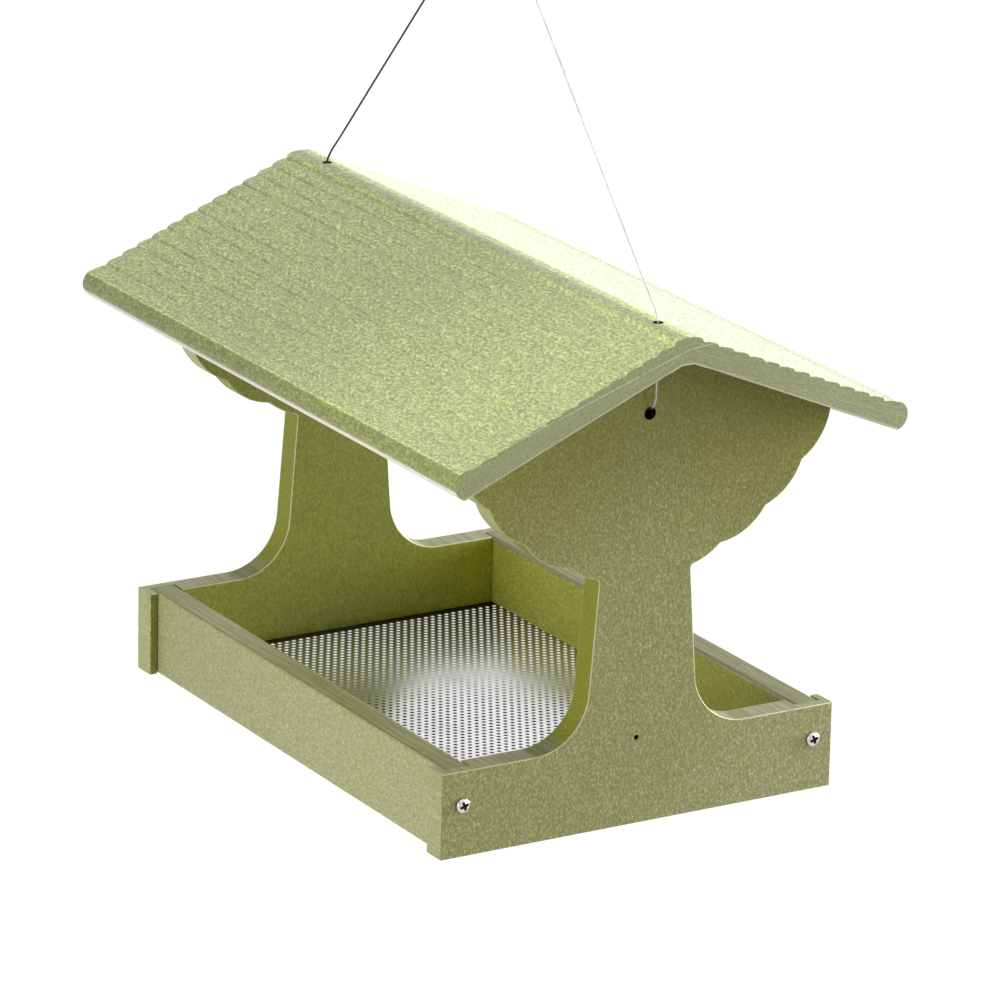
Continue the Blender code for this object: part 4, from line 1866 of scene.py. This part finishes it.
@dataclass
class ShingledRoof:
    """The roof: one long board with rows of shingles, a ridge cap and rounded eaves."""

    length: float = 0.4300
    thickness: float = 0.0133
    inner_apex: float = ROOF_INNER_APEX
    inner_flat: float = 0.0080
    shingles: int = 13
    shingle_pitch: float = SHINGLE_PITCH
    shingle_rise: float = 0.0013
    shingle_crest: float = 0.74
    nose_steps: int = 5
    face_steps: int = 9
    cap_width: float = CAP_WIDTH
    cap_rise: float = 0.0036
    cap_fullness: float = 0.80
    cap_steps: int = 12
    lip: float = 0.0124
    lip_rise: float = 0.0021
    lip_steps: int = 12
    eave_foot: float = 0.0155
    eave_bulge: float = 0.0049
    hole: float = 0.0060
    hole_place: float = CABLE_PLACE
    edge_round: float = 0.0003
    least_width: float = 0.0001
    underside_lift: float = -0.88

    def outline(self) -> list[Vector]:
        """The roof's section, from the underside to the eave and back over the shingles.

        Returns:
            The points, as Y and height above the tray's underside.
        """
        slope = math.tan(ROOF_PITCH)
        first = self.cap_width / 2
        first_valley = self.inner_apex + self.thickness / math.cos(ROOF_PITCH) - first * slope

        def on_slope(along: float, above: float) -> Vector:
            """A point by its distances from the first valley: down the slope, and square to it."""
            y = first + along * math.cos(ROOF_PITCH) + above * math.sin(ROOF_PITCH)
            return Vector((y, first_valley - along * math.sin(ROOF_PITCH) + above * math.cos(ROOF_PITCH)))

        last_valley = (self.shingles - 1) * self.shingle_pitch
        foot = on_slope(last_valley + self.eave_foot, -self.thickness)
        lip = on_slope(last_valley + self.lip, self.lip_rise)
        half = [Vector((self.inner_flat / 2, self.inner_apex - slope * self.inner_flat / 2)), foot]
        half += arc(foot, lip, self.eave_bulge, 20)
        for step in range(self.lip_steps - 1, 0, -1):
            share = step / self.lip_steps
            rise = self.lip_rise * math.sin(math.pi / 2 * share)
            half.append(on_slope(last_valley + self.lip * share, rise))
        crest = self.shingle_crest * self.shingle_pitch
        for shingle in range(self.shingles - 1, 0, -1):
            top = (shingle - 1) * self.shingle_pitch
            for step in range(self.nose_steps, 0, -1):
                turn = math.pi / 2 * step / self.nose_steps
                nose = (self.shingle_pitch - crest) * math.sin(turn)
                half.append(on_slope(top + crest + nose, self.shingle_rise * math.cos(turn)))
            for step in range(self.face_steps, 0, -1):
                share = step / self.face_steps
                half.append(on_slope(top + crest * share, self.shingle_rise * math.sin(math.pi / 2 * share)))
        half.append(on_slope(0.0, 0.0))
        for step in range(1, self.cap_steps + 1):
            turn = math.pi / 2 * (step - 0.5) / self.cap_steps
            out = first * math.cos(turn) ** self.cap_fullness
            half.append(Vector((out, first_valley + self.cap_rise * math.sin(turn) ** self.cap_fullness)))
        return both_sides(half)

    def build(self) -> bpy.types.Object:
        """Builds and dresses the roof in place of its CAD solid.

        Returns:
            The roof.
        """
        half = self.length / 2
        places = [Vector((-half, point.x, point.y - HANG_HEIGHT)) for point in self.outline()]
        roof = ring_of_points("shingled_roof", places, filled=True)
        take_materials(roof, self.materials())
        extrude(roof, (self.length, 0.0, 0.0))
        for polygon in roof.data.polygons:
            if abs(polygon.normal.x) > 0.5:
                polygon.material_index = Surface.CUT.value
        ease_edges(roof, self.edge_round, 3, self.is_end_rim)
        self.mark_long_faces(roof)
        for place in (-self.hole_place, self.hole_place):
            deselect_all()
            bpy.ops.mesh.primitive_cylinder_add(vertices=32, radius=self.hole / 2, depth=0.1,
                                                location=(place, 0.0, self.inner_apex - HANG_HEIGHT))
            cut_away(roof, settled("cable_hole"), Surface.BORE)
        smooth(roof, 35.0)
        flatten_shading(roof)
        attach(roof, "roof")
        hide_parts("roof")
        report_piece(roof)
        return roof

    def materials(self) -> list[bpy.types.Material]:
        """The roof's finishes: flecked above, paler towards the near end, with painted light and shade on its
        shingles, eaves, ridge and back slope; sawn pale at the ends with painted light towards the back; a
        darker, richer copy below as painted shade.

        Returns:
            The materials, in the order of Surface.
        """
        face = BoardFinish("roof_face", (0.458, 0.512, 0.205), Grain.ALONG_RIDGE, pale=(1.42, 1.38, 1.38),
                           deep=(0.68, 0.65, 0.86), cool=(0.95, 0.93, 1.16), contrast=0.94, roughness=0.36,
                           bump=0.00010, paling_and_painted_light=(1.38, 1.38, 1.30), levelling=0.90, shelter_reach=0.0)
        # the cut ends: painted light, paler towards the back slope
        cut = replace(face, name="roof_cut", surface=Surface.CUT, ground=(0.392, 0.424, 0.190), levelling=0.0,
                      contrast=0.35, roughness=0.50, bump=0.00005, saw_pitch=math.tan(ROOF_PITCH),
                      paling_and_painted_light=None, fade=Fade((0.0, 1.0, 0.0), 0.0, 0.10, (1.13, 1.13, 1.22)))
        inner = replace(face, name="roof_inner", surface=Surface.INNER, ground=(0.262, 0.285, 0.040),
                        roughness=0.46, levelling=0.0, paling_and_painted_light=None)
        return board_set(face, cut, inner)

    def mark_long_faces(self, roof: bpy.types.Object) -> None:
        """Gives the faces that run from end to end the flecked finish above and the darker, richer copy
        below, which is painted shade.

        Args:
            roof: The roof, with the rims of its ends eased.
        """
        reach = self.length / 2 - 2 * self.edge_round
        for polygon in roof.data.polygons:
            places = [abs(roof.data.vertices[index].co.x) for index in polygon.vertices]
            broad = polygon.area > 2 * reach * self.least_width
            long = broad and abs(polygon.normal.x) < 0.1 and min(places) > reach
            upper_rim = polygon.material_index == Surface.RUBBED_EDGE.value and polygon.normal.z > 0.0
            if long and polygon.normal.z < self.underside_lift:
                polygon.material_index = Surface.INNER.value
            elif long or upper_rim:
                polygon.material_index = Surface.FACE.value

    def is_end_rim(self, edge: bmesh.types.BMEdge) -> bool:
        """Whether an edge lies round a sawn end of the roof."""
        return lies_at_end(edge, self.length / 2)


@dataclass
class PanHeadScrew:
    """A pan-head screw with a cross recess, through an end panel into a rail."""

    side: Side
    flank: Flank
    panel_face: float = PANEL_FACE
    line: float = RAIL_FACE - BOARD / 2
    height: float = SCREW_HEIGHT
    head: float = 0.0083
    rim: float = 0.0010
    rim_chamfer: tuple[float, float] = (0.0002, 0.0003)
    crown: float = 0.0014
    crown_steps: int = 12
    shank: float = 0.0042
    plain_shank: float = 0.0050
    core: float = 0.0030
    length: float = 0.0320
    point: float = 0.0040
    thread_pitch: float = 0.0016
    recess_span: float = 0.0062
    recess_width: float = 0.0019
    recess_depth: float = 0.0013
    recess_turn: float = math.radians(18)
    recess_foot: float = 0.6
    recess_draft: float = 1.8
    recess_overcut: float = 1.3

    def profile(self) -> list[tuple[float, float]]:
        """The screw's half section.

        Returns:
            Pairs of place along X, outwards from under the head, and radius.
        """
        top = self.rim + self.crown
        turns = [math.pi / 2 * step / self.crown_steps for step in range(1, self.crown_steps + 1)]
        crown = [(self.rim + self.crown * math.cos(turn), self.head / 2 * math.sin(turn)) for turn in turns]
        up, inwards = self.rim_chamfer
        along = -self.plain_shank
        points = [(top, 0.0), *crown, (up, self.head / 2), (0.0, self.head / 2 - inwards),
                  (0.0, self.shank / 2), (along, self.shank / 2)]
        while along - self.thread_pitch > self.point - self.length:
            points += [(along - share * self.thread_pitch, self.core / 2) for share in (0.3, 0.7)]
            along -= self.thread_pitch
            points.append((along, self.shank / 2))
        return points + [(self.point - self.length, self.core / 2), (-self.length, 0.0)]

    def build(self) -> bpy.types.Object:
        """Builds and dresses the screw in place of its CAD solid.

        Returns:
            The screw.
        """
        seat = self.side.value * (self.panel_face + SEAT_GAP)
        centre = Vector((seat, self.flank.value * self.line, self.height - HANG_HEIGHT))
        profile = [(seat + self.side.value * along, radius) for along, radius in self.profile()]
        label = f"{self.side.name}_{self.flank.name}".lower()
        screw = spin_about_x(f"{label}_pan_head", profile, centre, 40, closed=False)
        steel = SteelFinish("screw_steel", (0.66, 0.64, 0.62), (500.0, 500.0, 500.0), dull=(0.46, 0.44, 0.42),
                            gloss=0.05)
        # the recess painted near black: painted shade inside it
        recess = replace(steel, name="screw_recess", ground=(0.035, 0.030, 0.035), dull=(0.015, 0.012, 0.015),
                         gloss=0.30)
        take_materials(screw, [steel.material(), recess.material()])
        self.cut_recess(screw, centre)
        smooth(screw, 40.0)
        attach(screw, "tray")
        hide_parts(f"{label}_screw")
        report_piece(screw)
        return screw

    def cut_recess(self, screw: bpy.types.Object, centre: Vector) -> None:
        """Cuts the cross recess, whose walls lean in towards its floor.

        Args:
            screw: The turned screw.
            centre: Where its axis meets the seat of its head.
        """
        way = self.side.value
        arm = self.recess_width / 2
        span = self.recess_span / 2
        quarter = [Vector((span, -arm)), Vector((span, arm)), Vector((arm, arm))]
        cross = [Matrix.Rotation(turn * math.pi / 2 + self.recess_turn, 2) @ point
                 for turn in range(4) for point in quarter]
        floor = centre.x + way * (self.rim + self.crown - self.recess_depth)
        foot = self.recess_foot
        places = [Vector((floor, centre.y + point.x * foot, centre.z + point.y * foot)) for point in cross]
        cutter = ring_of_points("recess", places, filled=True)
        out = (way * self.recess_depth * self.recess_overcut, 0.0, 0.0)
        draft = (1.0, self.recess_draft, self.recess_draft)
        with editing(cutter):
            bpy.ops.mesh.select_all(action="SELECT")
            bpy.ops.mesh.extrude_region_move(TRANSFORM_OT_translate={"value": out})
            bpy.ops.transform.resize(value=draft, center_override=centre)
            turn_outwards()
        cut_away(screw, cutter, ScrewSurface.RECESS)


@dataclass
class CableStop:
    """The washer and the crimped sleeve that stop the cable inside an end panel."""

    side: Side
    inner_face: float = PANEL_FACE - BOARD
    level: float = CABLE_HOLE_HEIGHT + CABLE_LIFT_IN_HOLE
    washer: float = 0.0120
    washer_bore: float = 0.0024
    washer_thickness: float = 0.0010
    washer_chamfer: float = 0.00015
    sleeve: float = 0.0040
    sleeve_bore: float = 0.0018
    sleeve_length: float = 0.0070
    sleeve_chamfer: float = 0.0003
    dents: tuple[float, float] = (0.32, 0.70)
    dent_width: float = 0.11
    dent_depth: float = 0.00055

    def ring_profile(self, start: float, length: float, outer: float, bore: float,
                     chamfer: float) -> list[tuple[float, float]]:
        """The half section of a ring with broken edges.

        Args:
            start: Where the ring starts along X, from the origin outwards.
            length: Its length.
            outer: Its outer radius.
            bore: The radius of its bore.
            chamfer: How far its outer edges are broken.

        Returns:
            Pairs of place along X and radius, as a closed ring.
        """
        end = start + length
        return [(self.side.value * along, radius) for along, radius in
                ((start, bore), (start, outer - chamfer), (start + chamfer, outer),
                 (end - chamfer, outer), (end, outer - chamfer), (end, bore))]

    def build(self) -> list[bpy.types.Object]:
        """Builds and dresses both pieces in place of their CAD solids.

        Returns:
            The washer and the sleeve.
        """
        label = self.side.name.lower()
        centre = Vector((0.0, 0.0, self.level - HANG_HEIGHT))
        finish = SteelFinish("fitting_steel", (0.60, 0.60, 0.58), (300.0, 900.0, 900.0),
                             dull=(0.46, 0.46, 0.44), gloss=0.20)
        washer_start = self.inner_face - SEAT_GAP - self.washer_thickness
        washer_profile = self.ring_profile(washer_start, self.washer_thickness, self.washer / 2,
                                           self.washer_bore / 2, self.washer_chamfer)
        washer = spin_about_x(f"{label}_washer", washer_profile, centre, 48, closed=True)
        sleeve_start = washer_start - SEAT_GAP - self.sleeve_length
        sleeve_profile = self.ring_profile(sleeve_start, self.sleeve_length, self.sleeve / 2,
                                           self.sleeve_bore / 2, self.sleeve_chamfer)
        sleeve = spin_about_x(f"{label}_sleeve", sleeve_profile, centre, 32, closed=True)
        self.crimp(sleeve, sleeve_start)
        for piece, node in ((washer, "washer"), (sleeve, "stop")):
            take_materials(piece, [finish.material()])
            smooth(piece, 35.0)
            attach(piece, "tray")
            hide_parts(f"{label}_cable_{node}")
            report_piece(piece)
        return [washer, sleeve]

    def is_long(self, edge: bmesh.types.BMEdge) -> bool:
        """Whether an edge runs along the sleeve."""
        return reach_along_x(edge) > 0.5 * self.sleeve_length

    def crimp(self, sleeve: bpy.types.Object, start: float) -> None:
        """Presses two dents into the sleeve, above and below.

        Args:
            sleeve: The turned sleeve.
            start: Where the sleeve starts along X, from the origin outwards.
        """
        axis = Vector((0.0, self.level - HANG_HEIGHT))
        skin = 0.9 * self.sleeve / 2
        with editing(sleeve):
            pick_edges(sleeve, lambda edge: self.is_long(edge) and (edge.verts[0].co.yz - axis).length > skin)
            bpy.ops.mesh.subdivide(number_cuts=13)
        for vertex in sleeve.data.vertices:
            share = (abs(vertex.co.x) - start) / self.sleeve_length
            radius = (vertex.co.yz - axis).length
            if radius < skin:
                continue
            press = sum(math.exp(-((share - dent) / self.dent_width) ** 2) for dent in self.dents)
            rise = (vertex.co.z - axis.y) / radius
            vertex.co.z -= self.dent_depth * press * rise * abs(rise)


@dataclass(frozen=True)
class Lamp:
    """A broad, distant lamp.

    Its heading runs from +X towards +Y, its height is counted from the level, and its spread is the angle
    that it fills, all in degrees.
    """

    name: str
    heading: float
    height: float
    strength: float
    spread: float = 40.0

    def hang(self) -> None:
        """Hangs the lamp, which shines on the feeder."""
        heading = math.radians(self.heading)
        height = math.radians(self.height)
        level = math.cos(height)
        towards = Vector((level * math.cos(heading), level * math.sin(heading), math.sin(height)))
        data = bpy.data.lights.new(self.name, "SUN")
        data.energy = self.strength
        data.angle = math.radians(self.spread)
        lamp = bpy.data.objects.new(self.name, data)
        bpy.context.scene.collection.objects.link(lamp)
        lamp.rotation_euler = towards.to_track_quat("Z", "Y").to_euler()


@dataclass
class Studio:
    """The camera, the pale floor and the soft lights."""

    focal_pixels: float = 6647.15
    position: tuple[float, float, float] = (3.09595, -1.85309, 0.82714)
    right: tuple[float, float, float] = (0.5102544, 0.8597731, 0.0207532)
    down: tuple[float, float, float] = (0.2778894, -0.1419881, -0.9500615)
    forward: tuple[float, float, float] = (-0.8138906, 0.4905402, -0.3113719)
    picture_width: float = 1000.0
    sensor_width: float = 36.0
    floor_drop: float = 1.35
    floor_size: float = 14.0
    floor_colour: Colour = (0.45, 0.45, 0.44)
    floor_glow: float = 0.62
    sky_top: float = 0.02
    sky_level: float = 0.04
    sky_below: float = 0.02
    lamps: tuple[Lamp, ...] = (
        Lamp("left_softbox", heading=-90.0, height=8.0, strength=1.62),
        Lamp("right_softbox", heading=93.0, height=8.0, strength=7.30),
        Lamp("near_right_softbox", heading=45.0, height=8.0, strength=0.82),
        Lamp("overhead_softbox", heading=0.0, height=88.0, strength=1.32, spread=60.0),
    )

    def set_camera(self) -> None:
        """Puts the camera where the photograph was taken from."""
        data = bpy.data.cameras.new("viewpoint")
        data.sensor_fit = "HORIZONTAL"
        data.sensor_width = self.sensor_width
        data.lens = self.focal_pixels * self.sensor_width / self.picture_width
        data.clip_start = 0.1
        data.clip_end = 60.0
        camera = bpy.data.objects.new("viewpoint", data)
        bpy.context.scene.collection.objects.link(camera)
        axes = Matrix((Vector(self.right), -Vector(self.down), -Vector(self.forward))).transposed()
        camera.matrix_world = Matrix.Translation(self.position) @ axes.to_4x4()
        bpy.context.scene.camera = camera

    def lay_floor(self) -> None:
        """Lays the pale floor, which shows white and keeps the feeder's shadow."""
        deselect_all()
        bpy.ops.mesh.primitive_plane_add(size=self.floor_size, location=(0.0, 0.0, -self.floor_drop))
        floor = bpy.context.active_object
        floor.name = "studio_floor"
        material = bpy.data.materials.new("pale_floor")
        material.use_nodes = True
        bench = Bench(material.node_tree)
        material.node_tree.nodes.clear()
        matt = bench.value("ShaderNodeBsdfDiffuse", {"Color": self.floor_colour})
        glow = bench.value("ShaderNodeEmission",
                           {"Color": WHITE, "Strength": self.seen_ray(bench) * self.floor_glow})
        both = bench.value("ShaderNodeAddShader", {0: matt, 1: glow})
        bench.node("ShaderNodeOutputMaterial", {"Surface": both})
        floor.data.materials.append(material)

    def seen_ray(self, bench: Bench) -> Value:
        """Whether a ray comes from the camera, a gloss or a clear material.

        Args:
            bench: Where the nodes go.

        Returns:
            1 for such a ray, otherwise 0.
        """
        path = bench.node("ShaderNodeLightPath").outputs
        kinds = ("Is Camera Ray", "Is Glossy Ray", "Is Transmission Ray")
        camera, glossy, clear = [Value(bench, path[kind]) for kind in kinds]
        return camera.apply("MAXIMUM", glossy).apply("MAXIMUM", clear)

    def light_sky(self) -> None:
        """Lights the scene faintly from all round, in front of a white backdrop."""
        world = bpy.data.worlds.new("white_studio")
        world.use_nodes = True
        bpy.context.scene.world = world
        bench = Bench(world.node_tree)
        world.node_tree.nodes.clear()
        height = bench.value("ShaderNodeTexCoord", output="Generated").parts()[2]
        above = height.mask(0.0, 0.9) * (self.sky_top - self.sky_level)
        below = height.mask(0.0, -0.5) * (self.sky_below - self.sky_level)
        strength = above + below + self.sky_level
        soft = bench.value("ShaderNodeBackground", {"Color": WHITE, "Strength": strength})
        white = bench.value("ShaderNodeBackground", {"Color": WHITE, "Strength": 1.0})
        shown = bench.value("ShaderNodeMixShader", {0: self.seen_ray(bench), 1: soft, 2: white})
        bench.node("ShaderNodeOutputWorld", {"Surface": shown})

    def build(self) -> None:
        """Sets up everything but the camera."""
        bpy.context.scene.view_settings.view_transform = "Standard"
        self.lay_floor()
        self.light_sky()
        for lamp in self.lamps:
            lamp.hang()


def main() -> None:
    """Builds the feeder's sub-assemblies in order."""
    logging.basicConfig(level=logging.INFO, format="%(name)s: %(message)s")
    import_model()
    studio = Studio()
    studio.set_camera()
    HangingLoop().build()
    for side in Side:
        CableTail(side).build()
    for side in Side:
        EndPanel(side).build()
        CableStop(side).build()
        for flank in Flank:
            PanHeadScrew(side, flank).build()
    for flank in Flank:
        SideRail(flank).build()
    PerforatedFloor().build()
    ShingledRoof().build()
    studio.build()
    LOG.info("feeder dressed")


if __name__ == "__main__":
    main()
